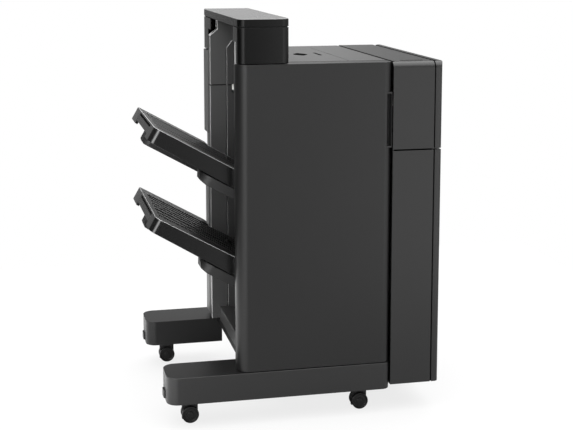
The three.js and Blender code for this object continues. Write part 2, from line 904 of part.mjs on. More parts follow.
// Top cover, a frame round the jam door
const topOuter = roundedBlock(
  headRight + fit, towerWidth, topFront, bodyBack, bodyTop - topSkirt, bodyTop, [0, 0, headBackRadius, 0], 2,
);
const topHollow = block(
  headRight + fit - overrun, towerWidth - wall, topFront + wall, bodyBack - wall,
  bodyTop - topSkirt - overrun, bodyTop - wall,
);
const topOpening = block(
  headRight - overrun, topDoorRight + seam / 2, topDoorFront - seam / 2, topDoorBack + seam / 2,
  bodyTop - topSkirt - overrun, bodyTop + overrun,
);
const topHingeX = topDoorLeft + topHingeInset;
const topHingeZ = bodyTop - topHingeDrop;
const topPins = [
  [topDoorFront - seam / 2 - wall, topDoorFront + topPinLength],
  [topDoorBack - topPinLength, topDoorBack + seam / 2 + wall],
].map(([y0, y1]) => barY(topHingeX, topHingeZ, y0, y1, topPinRadius));
const topLugs = [topDoorFront - seam / 2 - wall, topDoorBack + seam / 2].map((y) => block(
  topHingeX - topHingeDrop, topHingeX + topHingeDrop, y, y + wall, bodyTop - topSkirt, bodyTop - wall / 2,
));
addPiece('top_cover', join(carve(topOuter, topHollow, topOpening), ...topLugs, ...topPins), charcoal);

// Jam door in the top, with its finger recess and the slit beside it
const topDoorPlate = carve(
  block(topDoorLeft, topDoorRight, topDoorFront, topDoorBack, bodyTop - topDoorSkirt - wall, bodyTop),
  block(
    topDoorLeft + wall, topDoorRight - wall, topDoorFront + wall, topDoorBack - wall,
    bodyTop - topDoorSkirt - wall - overrun, bodyTop - wall,
  ),
);
const hingeBlocks = [
  [topDoorFront, topDoorFront + topPinLength + wall],
  [topDoorBack - topPinLength - wall, topDoorBack],
].map(([y0, y1]) => block(
  topDoorLeft, topHingeX + topHingeDrop, y0, y1, bodyTop - topDoorSkirt - wall, bodyTop - wall / 2,
));
const pinHoles = [
  [topDoorFront - overrun, topDoorFront + topPinLength],
  [topDoorBack - topPinLength, topDoorBack + overrun],
].map(([y0, y1]) => barY(topHingeX, topHingeZ, y0, y1, holeFor(topPinRadius)));

// A lens outline: two shallow arcs that meet in points
function lensOutline(x, y, width, length, steps) {
  const points = [];
  for (let side = -1; side <= 1; side += 2) {
    for (let step = 0; step < steps; step += 1) {
      const share = step / steps;
      const along = side < 0 ? share - 0.5 : 0.5 - share;
      const bulge = side * width / 2 * Math.cos(Math.PI * along);
      points.push([x - bulge, y + along * length]);
    }
  }
  return polygon(points);
}

const recessSteps = 8;
const recessCup = upright(
  lensOutline(recessX, recessY, recessWidth + wall * 2, recessDepth + wall * 2, recessSteps),
  bodyTop - recessFloor - wall, bodyTop - wall / 2,
);
const recessCut = upright(
  lensOutline(recessX, recessY, recessWidth, recessDepth, recessSteps), bodyTop - recessFloor, bodyTop + overrun,
);
const slitCup = block(
  slitX - slitWidth / 2 - wall, slitX + slitWidth / 2 + wall, recessY - slitDepth / 2 - wall,
  recessY + slitDepth / 2 + wall, bodyTop - slitFloor - wall, bodyTop - wall / 2,
);
const slitCut = block(
  slitX - slitWidth / 2, slitX + slitWidth / 2, recessY - slitDepth / 2, recessY + slitDepth / 2,
  bodyTop - slitFloor, bodyTop + overrun,
);
addPiece('top_door', carve(
  join(topDoorPlate, ...hingeBlocks, recessCup, slitCup), ...pinHoles, recessCut, slitCut,
), charcoal);

// Front door: a deep cover whose left side stops short so that it clears the post
const doorRadii = [doorLeftRadius, doorRightRadius, 0, 0];
const doorOuter = roundedBlock(0, towerWidth, doorSetback, doorBack, doorBottom, bodyTop, doorRadii);
const doorInner = roundedBlock(
  wall, towerWidth - wall, doorSetback + wall, doorBack + overrun, doorBottom + wall, bodyTop - wall,
  doorRadii.map((radius) => Math.max(radius - wall, 0)),
);
const doorRelief = block(
  -overrun, doorReliefRun, doorSetback + doorLeftDepth, doorBack + overrun,
  doorBottom - overrun, bodyTop + overrun,
);
const gripRight = towerWidth - gripLip;
const gripLeft = gripRight - gripWidth;
const gripBlock = block(
  gripLeft - gripWall, towerWidth - wall / 2, doorSetback + wall / 2, doorSetback + gripDepth + gripWall,
  gripBottom - gripWall, gripTop + gripWall,
);
const gripBlockRounded = gripBlock.intersect(doorOuter);
const gripCut = block(
  gripLeft, gripRight, -overrun, doorSetback + gripDepth, gripBottom, gripTop,
);
const doorPinHoles = [doorBottom - overrun, bodyTop - wall - overrun].map((z) => barZ(
  hingeX, hingeY, z, z + wall + overrun * 2, holeFor(hingePinRadius),
));
addPiece('front_door', carve(
  join(carve(doorOuter, doorInner, doorRelief), gripBlockRounded), gripCut, ...doorPinHoles,
), charcoal);

// Head housing, open at the top under its cap and open to the bay on the left
const headOuter = roundedBlock(
  headLeft, headRight, headSetback, bodyBack, headBottom, housingTop,
  [headRadius, headRadius, headBackRadius, headBackRadius],
);
const headInner = roundedBlock(
  headLeft + wall, headRight - wall, headSetback + wall, bodyBack - wall,
  headBottom - overrun, housingTop + overrun,
  [headRadius - wall, headRadius - wall, headBackRadius - wall, headBackRadius - wall],
);
const headMouth = block(
  headLeft - overrun, headLeft + wall + overrun, headNearBack, headFarFront,
  headBottom - overrun, housingTop + overrun,
);
const headFarStep = block(
  headLeft - overrun, headLeft + wall + overrun, headFarFront - overrun, slotBack,
  headBottom - overrun, headStep,
);
const headNearStep = block(
  headLeft - overrun, headLeft + wall + overrun, doorSetback + doorLeftDepth, headNearBack + overrun,
  headBottom - overrun, postTop + fit,
);
const nearPartition = block(
  headLeft + wall / 2, fenceBack, headNearBack - wall, headNearBack, postTop + fit, housingTop,
);
addPiece('head_housing', join(
  carve(headOuter, headInner, headMouth, headFarStep, headNearStep), nearPartition,
), charcoal);

const capOuter = roundedBlock(
  headLeft, headRight, headSetback, bodyBack, capBottom, headTop,
  [headRadius, headRadius, headBackRadius, headBackRadius],
);
const capHollow = block(
  headLeft + headRadius, headRight - headRadius, headSetback + headRadius, bodyBack - headRadius,
  capBottom - overrun, headTop - wall,
);
const capLip = roundedBlock(
  headLeft + capLipWidth, headRight - capLipWidth, headSetback + capLipWidth, bodyBack - capLipWidth,
  housingTop + fit, capBottom + wall,
  [headRadius - capLipWidth, headRadius - capLipWidth, headBackRadius / 2, headBackRadius / 2],
);
addPiece('head_cap', carve(join(capOuter, capLip), capHollow), charcoal);

// Docking unit: lower and upper covers, open towards the tower
const coverBottom = dockSplit + dockSplitGap / 2;
const coverTop = dockSplit - dockSplitGap / 2;
const roundedFront = new THREE.Shape();
roundedFront.moveTo(dockBack, coverBottom);
roundedFront.lineTo(dockBack, bodyTop);
roundedFront.absarc(
  dockFront + dockTopRadius, bodyTop - dockTopRadius, dockTopRadius, Math.PI / 2, Math.PI, false,
);
roundedFront.lineTo(dockFront, coverBottom);
roundedFront.closePath();
const roundedInner = new THREE.Shape();
roundedInner.moveTo(dockBack - wall, coverBottom - overrun);
roundedInner.lineTo(dockBack - wall, bodyTop - wall);
roundedInner.absarc(
  dockFront + dockTopRadius, bodyTop - dockTopRadius, dockTopRadius - wall, Math.PI / 2, Math.PI, false,
);
roundedInner.lineTo(dockFront + wall, coverBottom - overrun);
roundedInner.closePath();
const dockSlot = block(
  dockRight - wall - overrun, towerRight + overrun, entryNear, entryNear + entryWidth,
  entryHeight - entryGap / 2, entryHeight + entryGap / 2,
);
const topSlit = block(
  dockSlitX, dockSlitX + dockSlitLength, dockSlitY, dockSlitY + dockSlitWidth, bodyTop - wall / 2, bodyTop + overrun,
);
addPiece('dock_upper_cover', carve(
  lengthwise(roundedFront, dockLeft, dockRight),
  lengthwise(roundedInner, dockLeft - overrun, dockRight - wall),
  dockSlot, topSlit,
), charcoal);
addPiece('dock_lower_cover', carve(
  block(dockLeft, dockRight, dockFront, dockBack, dockBottom, coverTop),
  block(
    dockLeft - overrun, dockRight - wall, dockFront + wall, dockBack - wall, dockBottom + wall, coverTop + overrun,
  ),
), charcoal);

// Frame of the docking unit: a sheet box that ties the tower to the end panels
const tie = carve(
  block(
    towerWidth + fit, dockRight - wall - fit, dockFront + wall + fit, dockBack - wall - fit,
    dockBottom + wall + fit, dockFrameTop,
  ),
  block(
    towerWidth - overrun, dockRight - wall - fit - sheet, dockFront + wall + fit + sheet,
    dockBack - wall - fit - sheet, dockBottom + wall + fit + sheet, dockFrameTop - sheet,
  ),
);
const tieGap = block(
  towerWidth - overrun, dockLeft, dockFront, dockFront + topFront, dockBottom, dockFrameTop + overrun,
);
const tieUnder = block(
  towerWidth - overrun, dockLeft, dockFront, dockBack + overrun, dockBottom, floorTop,
);
addPiece('dock_frame', carve(tie, tieGap, tieUnder), steel);

// End panels that meet the printer
function endPanel(z0, z1, notched) {
  const outer = roundedBlock(panelLeft, towerRight, dockFront, dockBack, z0, z1, [0, panelRadius, 0, 0]);
  const hollow = block(
    panelLeft - overrun, towerRight - wall, dockFront + panelRadius, dockBack - wall, z0 + wall, z1 - wall,
  );
  const notch = block(
    panelLeft - overrun, panelLeft + panelNotch, dockBack - panelNotch, dockBack + overrun,
    z1 - panelNotch, z1 + overrun,
  );
  return notched ? carve(outer, hollow, notch) : carve(outer, hollow);
}

const panelTies = [dockBottom + guideMargin, coverTop - guideMargin * 2].map((z) => block(
  dockRight + fit, towerRight - wall, dockFront + panelRadius + wall, dockBack - wall * 2, z, z + wall,
));
const upperTies = [coverBottom + guideMargin, entryHeight + guideMargin * 2].map((z) => block(
  dockRight + fit, towerRight - wall, dockFront + panelRadius + wall, dockBack - wall * 2, z, z + wall,
));
addPiece('lower_end_panel', join(endPanel(dockBottom, coverTop, false), ...panelTies), charcoal);
addPiece('upper_end_panel', carve(
  join(endPanel(coverBottom, bodyTop, true), ...upperTies), dockSlot,
), charcoal);

// Lift racks on the back of the fence
const toothCount = Math.floor((rackTop - rackBottom) / rackPitch);

function rackOutline() {
  const left = fenceBack + fit;
  const root = left + rackBase;
  const tip = rackLine + addendum;
  const half = rackPitch / 4 - backlash / 2;
  const tipHalf = half - addendum * Math.tan(pressureAngle);
  const rootHalf = half + dedendum * Math.tan(pressureAngle);
  const points = [[left, rackBottom]];
  for (let tooth = 0; tooth < toothCount; tooth += 1) {
    const middle = rackBottom + (tooth + 1 / 2) * rackPitch;
    points.push([root, middle - rootHalf], [tip, middle - tipHalf], [tip, middle + tipHalf], [root, middle + rootHalf]);
  }
  points.push([left, rackBottom + toothCount * rackPitch]);
  return polygon(points);
}

addPiece('near_lift_rack', crosswise(rackOutline(), nearRackY, nearRackY + rackWidth), steel);
addPiece('far_lift_rack', crosswise(rackOutline(), farRackY, farRackY + rackWidth), steel);

// A pinion in mesh with the racks at height z
function involute(angle) {
  return Math.tan(angle) - angle;
}

function pinionOutline(z) {
  const base = pinionRadius * Math.cos(pressureAngle);
  const tip = pinionRadius + addendum;
  const root = pinionRadius - dedendum;
  const half = Math.PI / (2 * pinionTeeth) - backlash / (2 * pinionRadius) + involute(pressureAngle);
  const radii = [root, base, pinionRadius, tip];
  const steps = (z - rackBottom) / rackPitch;
  const slip = steps - Math.floor(steps);
  const turn = Math.PI + slip * 2 * Math.PI / pinionTeeth;
  const points = [];
  for (let tooth = 0; tooth < pinionTeeth; tooth += 1) {
    const middle = turn + tooth * 2 * Math.PI / pinionTeeth;
    const flank = radii.map((radius) => {
      const lean = radius > base ? involute(Math.acos(base / radius)) : 0;
      return [radius, half - lean];
    });
    flank.forEach(([radius, lean]) => {
      points.push([pinionX + radius * Math.cos(middle - lean), z + radius * Math.sin(middle - lean)]);
    });
    flank.reverse().forEach(([radius, lean]) => {
      points.push([pinionX + radius * Math.cos(middle + lean), z + radius * Math.sin(middle + lean)]);
    });
  }
  return polygon(points);
}

// One tray with its underside, its pull-out extension and its lift shaft.
// Its group is turned so that local X runs down the slope to the fence.
function addTray(level, height) {
  const tray = new THREE.Group();
  tray.position.set(trayRootX, 0, height);
  tray.rotation.y = traySlope;
  finisher.add(tray);

  // What lies beyond the upright plane next to the fence
  const beyondFence = new THREE.BoxGeometry(trayLength, trayLength * 2, trayLength * 2);
  beyondFence.translate(trayLength / 2, (trayNear + trayFar) / 2, 0);
  beyondFence.rotateY(-traySlope);
  const clearance = solid(beyondFence);
  const long = trayHeight;

  const wingBack = trayFar + wingReach;
  const outer = join(
    roundedBlock(-trayLength, long, trayNear, trayFar, -trayHeight, 0, [trayCornerRadius, 0, 0, 0]),
    roundedBlock(
      -trayLength, -wingEnd, trayFar - trayWall, wingBack, -trayHeight, 0, [0, 0, wingRadius, trayFarRadius],
    ),
  );
  const pocket = join(
    roundedBlock(
      trayEndWall - trayLength, long + overrun, trayNear + trayWall, trayFar - trayWall,
      -trayHeight - overrun, -trayRim - trayDeck, [trayCornerRadius - trayWall, 0, 0, 0],
    ),
    block(
      trayEndWall - trayLength, -wingEnd - trayWall, trayFar - trayWall - overrun, wingBack - trayWall,
      -trayHeight - overrun, -trayRim - trayDeck,
    ),
  );
  const rim = join(
    block(
      rimSetback - trayLength, long + overrun, trayNear + rimNear, trayFar - trayWall, -trayRim, overrun,
    ),
    block(
      rimSetback - trayLength, -wingEnd - trayWall, trayFar - trayWall - overrun, wingBack - rimFar,
      -trayRim, overrun,
    ),
  );
  const windowNear = trayNear + extensionNear;
  const window = block(
    -trayLength - overrun, overrun - trayLength + trayEndWall, windowNear, windowNear + extensionWidth,
    -trayHeight - overrun, -extensionTop,
  );
  const taperShare = (trayHeight - trayTipHeight) / trayLength;
  const taper = crosswise(polygon([
    [0, -trayHeight],
    [0, -trayHeight - overrun],
    [-trayLength - overrun, -trayHeight - overrun],
    [-trayLength - overrun, overrun * taperShare - trayTipHeight],
  ]), trayNear - overrun, wingBack + overrun);
  addPiece(`${level}_tray`, carve(outer, pocket, rim, window, taper, clearance), darkPlastic, tray);

  const extensionFront = windowNear + fit;
  const extensionBack = windowNear + extensionWidth - fit;
  const endPlate = block(
    -trayLength, extensionPlate - trayLength, extensionFront, extensionBack,
    -extensionTop - extensionGap - extensionHeight, -extensionTop - extensionGap,
  );
  const slider = block(
    extensionPlate - trayLength - fit, extensionLength - trayLength,
    extensionFront + extensionSideInset, extensionBack - extensionSideInset,
    -extensionTop - extensionGap - extensionSheet, -extensionTop - extensionGap,
  );
  addPiece(`${level}_tray_extension`, join(endPlate, slider), charcoal, tray);

  const baseTop = -trayHeight - fit;
  const bracketFront = trayNear + bracketInset;
  const housingTop = -extensionTop - extensionGap - extensionSheet - running;
  const housing = crosswise(polygon([
    [-housingEnd, housingTop],
    [-housingEnd, housingChamfer - housingDrop],
    [housingChamfer - housingEnd, -housingDrop],
    [wall - crossbeamRun, -housingDrop],
    [wall - crossbeamRun, housingTop],
  ]), trayNear + housingNear, trayNear + housingNear + housingWidth);
  const housingHollow = crosswise(polygon([
    [wall - housingEnd, housingTop + overrun],
    [wall - housingEnd, housingChamfer - housingDrop + wall / 2],
    [housingChamfer - housingEnd + wall / 2, wall - housingDrop],
    [-crossbeamRun, wall - housingDrop],
    [-crossbeamRun, housingTop + overrun],
  ]), trayNear + housingNear + wall, trayNear + housingNear + housingWidth - wall);
  const bracket = crosswise(polygon([
    [-bracketLeftTop, baseTop],
    [-bracketLeftLow, -bracketStep],
    [-bracketCorner, -bracketDrop],
    [long, -bracketDrop],
    [long, baseTop],
  ]), bracketFront, bracketFront + bracketDepth);
  const bracketHollow = crosswise(polygon([
    [wall - bracketLeftTop, baseTop + overrun],
    [wall - bracketLeftLow, wall - bracketStep],
    [wall - bracketCorner, wall - bracketDrop],
    [long + overrun, wall - bracketDrop],
    [long + overrun, baseTop + overrun],
  ]), bracketFront + wall, bracketFront + bracketDepth - wall);
  const crossbeam = block(
    -crossbeamRun, long, bracketFront, trayFar - bracketInset, -bracketDrop, baseTop,
  );
  const crossbeamHollow = block(
    wall - crossbeamRun, long + overrun, bracketFront + wall, trayFar - bracketInset - wall,
    wall - bracketDrop, baseTop + overrun,
  );
  const [roundBracket, roundHollow] = [
    [bracket, bracketFront, bracketRadius, -bracketLeftTop],
    [bracketHollow, bracketFront + wall, bracketRadius - wall, wall - bracketLeftTop],
  ].map(([shape, near, radius, left]) => carve(shape, carve(
    block(left - overrun, left + radius, near - overrun, near + radius, -trayLength, 0),
    barZ(left + radius, near + radius, -trayLength - overrun, overrun, radius, cornerSides),
  )));
  const arms = [nearArmY, farArmY].map((y) => {
    const plate = new THREE.BoxGeometry(armRun + armRoot, armThickness, armDrop - armTop);
    plate.translate((armRun - armRoot) / 2, y + armThickness / 2, -(armDrop + armTop) / 2);
    plate.rotateY(-traySlope);
    return solid(plate);
  });
  const shaftHole = new THREE.CylinderGeometry(
    holeFor(shaftRadius), holeFor(shaftRadius), trayFar - trayNear, rollerSides, 1, false, Math.PI / rollerSides,
  );
  shaftHole.translate(pinionX - trayRootX, (trayNear + trayFar) / 2, -shaftDrop);
  shaftHole.rotateY(-traySlope);
  const shell = carve(
    join(housing, roundBracket, crossbeam), housingHollow, roundHollow, crossbeamHollow, clearance,
  );
  addPiece(`${level}_tray_base`, carve(join(shell, ...arms), solid(shaftHole)), darkPlastic, tray);

  const shaftZ = height - shaftDrop;
  addPiece(`${level}_lift_shaft`, join(
    barY(pinionX, shaftZ, nearArmY - shaftOverhang, farArmY + armThickness + shaftOverhang, shaftRadius),
    crosswise(pinionOutline(shaftZ), nearRackY, nearRackY + rackWidth),
    crosswise(pinionOutline(shaftZ), farRackY, farRackY + rackWidth),
  ), paleNylon);
}

addTray('upper', upperTrayHeight);
addTray('lower', lowerTrayHeight);

// Rollers on their shafts, with a drive pulley behind the rear frame
function rollerShaft(x, z, lanes, front) {
  const shaftBack = lanes.length > 0 ? Math.max(...lanes) + pulleyWidth : rearFrameY + sheet + fit;
  const shaft = barY(x, z, front, shaftBack, rollerShaftRadius);
  const rollerShares = [0.14, 0.38, 0.62, 0.86];
  const rollers = rollerShares.map((share) => {
    const y = entryNear + entryWidth * share - rollerWidth / 2;
    return barY(x, z, y, y + rollerWidth, rollerRadius);
  });
  const pulleys = lanes.map((lane) => barY(x, z, lane, lane + pulleyWidth, pulleyRadius));
  return join(shaft, ...rollers, ...pulleys);
}

const shaftFront = frontFrameY - fit;
addPiece('entry_roller', rollerShaft(entryRollerX, rollerZ, [pulleyFront], shaftFront), rubber);
const knobFront = frontFrameY - knobGap - knobLength;
addPiece('transport_roller', rollerShaft(
  transportRollerX, rollerZ, [pulleyFront, exitLaneFront], knobFront + knobLength / 2,
), rubber);
addPiece('exit_roller', rollerShaft(exitRollerX, exitRollerZ, [exitLaneFront], shaftFront), rubber);
addPiece('exit_idler', rollerShaft(exitRollerX, exitIdlerZ, [], shaftFront), rubber);

// Jam knob on the front end of the transport shaft
const knobRibs = 6;
const knobCore = barY(transportRollerX, rollerZ, knobFront, knobFront + knobLength, knobRadius);
const knobNotches = Array.from({ length: knobRibs }, (unused, index) => {
  const angle = index * 2 * Math.PI / knobRibs;
  return barY(
    transportRollerX + (knobRadius + leverThickness / 2) * Math.cos(angle),
    rollerZ + (knobRadius + leverThickness / 2) * Math.sin(angle),
    knobFront - overrun, knobFront + knobLength + overrun, leverThickness, knobRibs,
  );
});
const knobBore = barY(
  transportRollerX, rollerZ, knobFront + knobLength / 2 - fit, knobFront + knobLength + overrun,
  rollerShaftRadius + fit,
);
addPiece('jam_knob', carve(knobCore, ...knobNotches, knobBore), greenPlastic);

// Jam lever that opens the paper guides, in front of the front frame
const leverBack = frontFrameY - leverGap;
const leverFront = leverBack - leverThickness;
const leverArm = block(
  leverX - leverWidth / 2, leverX + leverWidth / 2, leverFront, leverBack, leverZ - leverLength, leverZ + leverWidth / 2,
);
const leverTab = block(
  leverX - leverWidth / 2, leverX + leverWidth / 2, leverFront - leverWidth, leverBack,
  leverZ - leverLength, leverZ - leverLength + leverThickness,
);
const leverPin = barY(leverX, leverZ, leverFront, frontFrameY + sheet + leverGap, leverPinRadius);
addPiece('jam_lever', join(leverArm, leverTab, leverPin), greenPlastic);

// Drive motor with its pulley, and the belts round the pulleys
const motorBody = barY(motorX, motorZ, rearFrameY - motorLength - fit, rearFrameY - fit, motorRadius, wheelSides);
const motorBore = barY(
  motorX, motorZ, rearFrameY - motorLength / 2, rearFrameY + overrun, holeFor(rollerShaftRadius),
);
addPiece('drive_motor', carve(motorBody, motorBore), steel);
addPiece('motor_pulley', join(
  barY(motorX, motorZ, rearFrameY - motorLength / 2 + fit, pulleyFront + pulleyWidth, rollerShaftRadius),
  barY(motorX, motorZ, pulleyFront, pulleyFront + pulleyWidth, motorPulleyRadius),
), steel);

// The outline of a belt round pulleys listed anticlockwise, grown by an offset
function beltOutline(pulleys, offset) {
  const outline = new THREE.Shape();
  const count = pulleys.length;
  const spans = pulleys.map(([x, z, radius], index) => {
    const [nextX, nextZ, nextRadius] = pulleys[(index + 1) % count];
    const heading = Math.atan2(nextZ - z, nextX - x);
    const lean = Math.acos((radius - nextRadius) / Math.hypot(nextX - x, nextZ - z));
    return heading - lean;
  });
  pulleys.forEach(([x, z, radius], index) => {
    const from = spans[(index + count - 1) % count];
    const to = spans[index];
    outline.absarc(x, z, radius + offset, from, to, false);
  });
  outline.closePath();
  return outline;
}

function belt(pulleys, lane) {
  const steps = 6;
  return carve(
    crosswise(beltOutline(pulleys, running + beltThickness), lane, lane + pulleyWidth, steps),
    crosswise(beltOutline(pulleys, running), lane - overrun, lane + pulleyWidth + overrun, steps),
  );
}

addPiece('drive_belt', belt([
  [motorX, motorZ, motorPulleyRadius],
  [entryRollerX, rollerZ, pulleyRadius],
  [transportRollerX, rollerZ, pulleyRadius],
], pulleyFront), rubber);
addPiece('exit_belt', belt([
  [transportRollerX, rollerZ, pulleyRadius],
  [exitRollerX, exitRollerZ, pulleyRadius],
], exitLaneFront), rubber);

// Paper guides: a channel round the level path, cut for the rollers, and the bend up to the exit
const guideRight = dockRight - wall - fit;
const rollerClear = rollerRadius + guideThickness;
const channel = carve(
  block(turnX, guideRight, guideNear, guideFar, guideUnder - guideThickness, guideOver + guideThickness),
  block(
    turnX - overrun, guideRight + overrun, guideNear + guideThickness, guideFar - guideThickness,
    guideUnder, guideOver,
  ),
  block(
    turnX - overrun, turnX + guideGap * 2, guideNear - overrun, guideFar + overrun,
    guideUnder, guideOver + guideThickness + overrun,
  ),
);
const rollerCuts = [transportRollerX, entryRollerX].map((x) => block(
  x - rollerClear, x + rollerClear, guideNear + guideThickness, guideFar - guideThickness,
  guideUnder - guideThickness - overrun, guideUnder + guideThickness,
));
const bendTop = exitRollerZ - rollerRadius;
const bend = crosswise(polygon([
  [turnX, guideUnder - guideThickness],
  [turnX + guideThickness, guideUnder - guideThickness],
  [turnX + guideThickness, bendTop - guideGap * 2],
  [exitRollerX + rollerClear + guideThickness * 2, bendTop],
  [exitRollerX + rollerClear, bendTop],
  [turnX, bendTop - guideGap * 2],
]), guideNear, guideFar);
const tabLeft = entryRollerX + rollerClear;
const guideTabs = [
  [frontFrameY + sheet + fit, guideNear + guideThickness],
  [guideFar - guideThickness, rearFrameY - fit],
].flatMap(([y0, y1]) => [
  block(tabLeft, tabLeft + guideMargin, y0, y1, guideUnder - guideThickness, guideUnder),
  block(turnX, turnX + guideThickness, y0, y1, guideUnder + guideMargin, guideUnder + guideMargin * 2),
]);
addPiece('paper_guides', carve(join(channel, bend, ...guideTabs), ...rollerCuts), steel);

// Stapler on its rail, with its cartridge
const railX = staplerX + staplerLength / 2;
const railZ = staplerZ - railDrop - railRadius * 2;
addPiece('stapler_rail', barY(
  railX, railZ, frontFrameY + sheet + fit, rearFrameY - fit, railRadius,
), steel);
const staplerTop = staplerZ + staplerHeight;
const staplerBody = carve(
  join(
    block(staplerX, staplerX + staplerLength, staplerY, staplerY + staplerDepth, staplerZ, staplerTop),
    block(
      railX - railRadius * 2, railX + railRadius * 2, staplerY, staplerY + staplerDepth,
      railZ - railRadius * 2, staplerZ + fit,
    ),
  ),
  block(
    staplerX - overrun, staplerX + staplerMouthDepth, staplerY - overrun, staplerY + staplerDepth + overrun,
    staplerZ + staplerHeight / 2 - staplerMouth / 2, staplerZ + staplerHeight / 2 + staplerMouth / 2,
  ),
  barY(railX, railZ, staplerY - overrun, staplerY + staplerDepth + overrun, holeFor(railRadius)),
  block(
    staplerX + staplerLength - cartridgeReach - fit, staplerX + staplerLength + overrun,
    staplerY + staplerDepth / 2 - cartridgeWidth / 2 - fit, staplerY + staplerDepth / 2 + cartridgeWidth / 2 + fit,
    staplerTop - cartridgeHeight - fit, staplerTop + overrun,
  ),
);
addPiece('stapler_unit', staplerBody, innerPlastic);
addPiece('staple_cartridge', block(
  staplerX + staplerLength - cartridgeReach, staplerX + staplerLength + cartridgeReach,
  staplerY + staplerDepth / 2 - cartridgeWidth / 2, staplerY + staplerDepth / 2 + cartridgeWidth / 2,
  staplerTop - cartridgeHeight, staplerTop,
), greenPlastic);

// Control board on posts behind the rear frame
const boardFront = rearFrameY + sheet + fit + boardStandoff;
const boardPlate = block(
  boardX, boardX + boardWidth, boardFront, boardFront + boardThickness, boardZ, boardZ + boardHeight,
);
const boardPosts = [boardX + boardPost * 2, boardX + boardWidth - boardPost * 2].flatMap((x) => (
  [boardZ + boardPost * 2, boardZ + boardHeight - boardPost * 2].map((z) => barY(
    x, z, rearFrameY + sheet + fit, boardFront + boardThickness / 2, boardPost,
  ))
));
const chipShares = [[0.15, 0.3, 0.25, 0.3], [0.5, 0.2, 0.15, 0.2], [0.55, 0.6, 0.3, 0.22]];
const chips = chipShares.map(([left, low, wide, tall]) => block(
  boardX + boardWidth * left, boardX + boardWidth * (left + wide),
  boardFront + boardThickness / 2, boardFront + boardThickness + chipHeight,
  boardZ + boardHeight * low, boardZ + boardHeight * (low + tall),
));
addPiece('control_board', join(boardPlate, ...boardPosts, ...chips), boardGreen);

// The origin is on the floor, at the middle of the footprint
finisher.position.set(-(trayTip + towerRight) / 2, -legsBack / 2, 0);

export default finisher;
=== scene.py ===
import math

import bmesh
import bpy
from mathutils import Matrix, Vector

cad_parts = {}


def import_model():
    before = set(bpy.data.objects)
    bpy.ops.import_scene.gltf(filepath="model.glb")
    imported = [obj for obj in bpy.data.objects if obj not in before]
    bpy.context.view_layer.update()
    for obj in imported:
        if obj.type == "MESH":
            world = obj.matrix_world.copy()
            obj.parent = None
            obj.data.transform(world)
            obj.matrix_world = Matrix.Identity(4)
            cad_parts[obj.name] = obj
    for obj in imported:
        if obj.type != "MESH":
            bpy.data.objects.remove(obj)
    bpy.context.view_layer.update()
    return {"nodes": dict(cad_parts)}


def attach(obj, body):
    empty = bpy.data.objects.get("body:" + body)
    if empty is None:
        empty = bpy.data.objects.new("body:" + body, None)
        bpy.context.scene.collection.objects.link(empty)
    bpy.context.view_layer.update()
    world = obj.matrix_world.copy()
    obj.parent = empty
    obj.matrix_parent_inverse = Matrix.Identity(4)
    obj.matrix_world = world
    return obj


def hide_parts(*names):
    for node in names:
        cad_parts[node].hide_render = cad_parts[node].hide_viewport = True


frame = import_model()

MM = 0.001

# Sizes in millimetres: X from the left edge of the door, Y from the front of the front leg and Z
# from the floor

TOWER_WIDTH = 403.7
PANEL_RIGHT = 539.4
LEG_LEFT = -182.0
LEG_DEPTH = 118.0
LEG_PITCH = 486.0
LEG_BOTTOM = 65.8
LEG_TOP = 136.9
CASTER_LEFT = -118.0
CASTER_RIGHT = 334.6
WHEEL_RADIUS = 22.4

DOOR_BOTTOM = 138.4
DOOR_BACK = 65.0
BODY_TOP = 926.4
BODY_BACK = 555.0
COVER_BOTTOM = 911.4
HEAD_RIGHT = 136.0
HEAD_TOP = 1040.0
HINGE_X, HINGE_Y = 9.0, 38.0

ENTRY_FRONT, ENTRY_BACK = 87.5, 417.5
ENTRY_BOTTOM, ENTRY_TOP = 805.0, 819.0
BAY_FRONT, BAY_BACK = 78.3, 426.7
SEAM_BOTTOM, SEAM_TOP = 830.4, 833.2

SLOPE = math.atan(0.56)
TRAY_LENGTH = 309.3
TRAY_HEIGHT = 46.5
TRAY_TIP_HEIGHT = 37.6
TRAY_ROOT = 75.0
TRAY_NEAR, TRAY_FAR, TRAY_BACK = 82.0, 418.0, 503.0
ARM_MIDDLES = (TRAY_NEAR + 34, TRAY_FAR - 34)
TRAY_TIP = TRAY_ROOT - TRAY_LENGTH * math.cos(SLOPE) - TRAY_TIP_HEIGHT * math.sin(SLOPE)
UPPER_TRAY_ROOT_HEIGHT = 615.3
LOWER_TRAY_ROOT_HEIGHT = 384.3

WALL = 3.0
CLEARANCE = 0.3
OVER = 5.0
EDGE_ANGLE = math.radians(32)
FLAT_ANGLE = math.radians(0.6)

ORIGIN_X = (TRAY_TIP + PANEL_RIGHT) / 2
ORIGIN_Y = (LEG_PITCH + LEG_DEPTH) / 2


def to_row(x, y, z):
    return Vector(((x - ORIGIN_X) * MM, (y - ORIGIN_Y) * MM, z * MM))


# Shapes in millimetres

def mesh_object(bm, name="shape"):
    bmesh.ops.recalc_face_normals(bm, faces=bm.faces)
    mesh = bpy.data.meshes.new(name)
    bm.to_mesh(mesh)
    bm.free()
    obj = bpy.data.objects.new(name, mesh)
    bpy.context.collection.objects.link(obj)
    return obj


AXES = {
    "z": lambda a, b, c: (a, b, c),
    "y": lambda a, b, c: (a, c, b),
    "x": lambda a, b, c: (c, a, b),
}


def prism(points, start, end, axis="z"):
    place = AXES[axis]
    bm = bmesh.new()
    first = [bm.verts.new(place(a, b, start)) for a, b in points]
    last = [bm.verts.new(place(a, b, end)) for a, b in points]
    bm.faces.new(first)
    bm.faces.new(last)
    count = len(points)
    for i in range(count):
        j = (i + 1) % count
        bm.faces.new((first[i], first[j], last[j], last[i]))
    return mesh_object(bm)


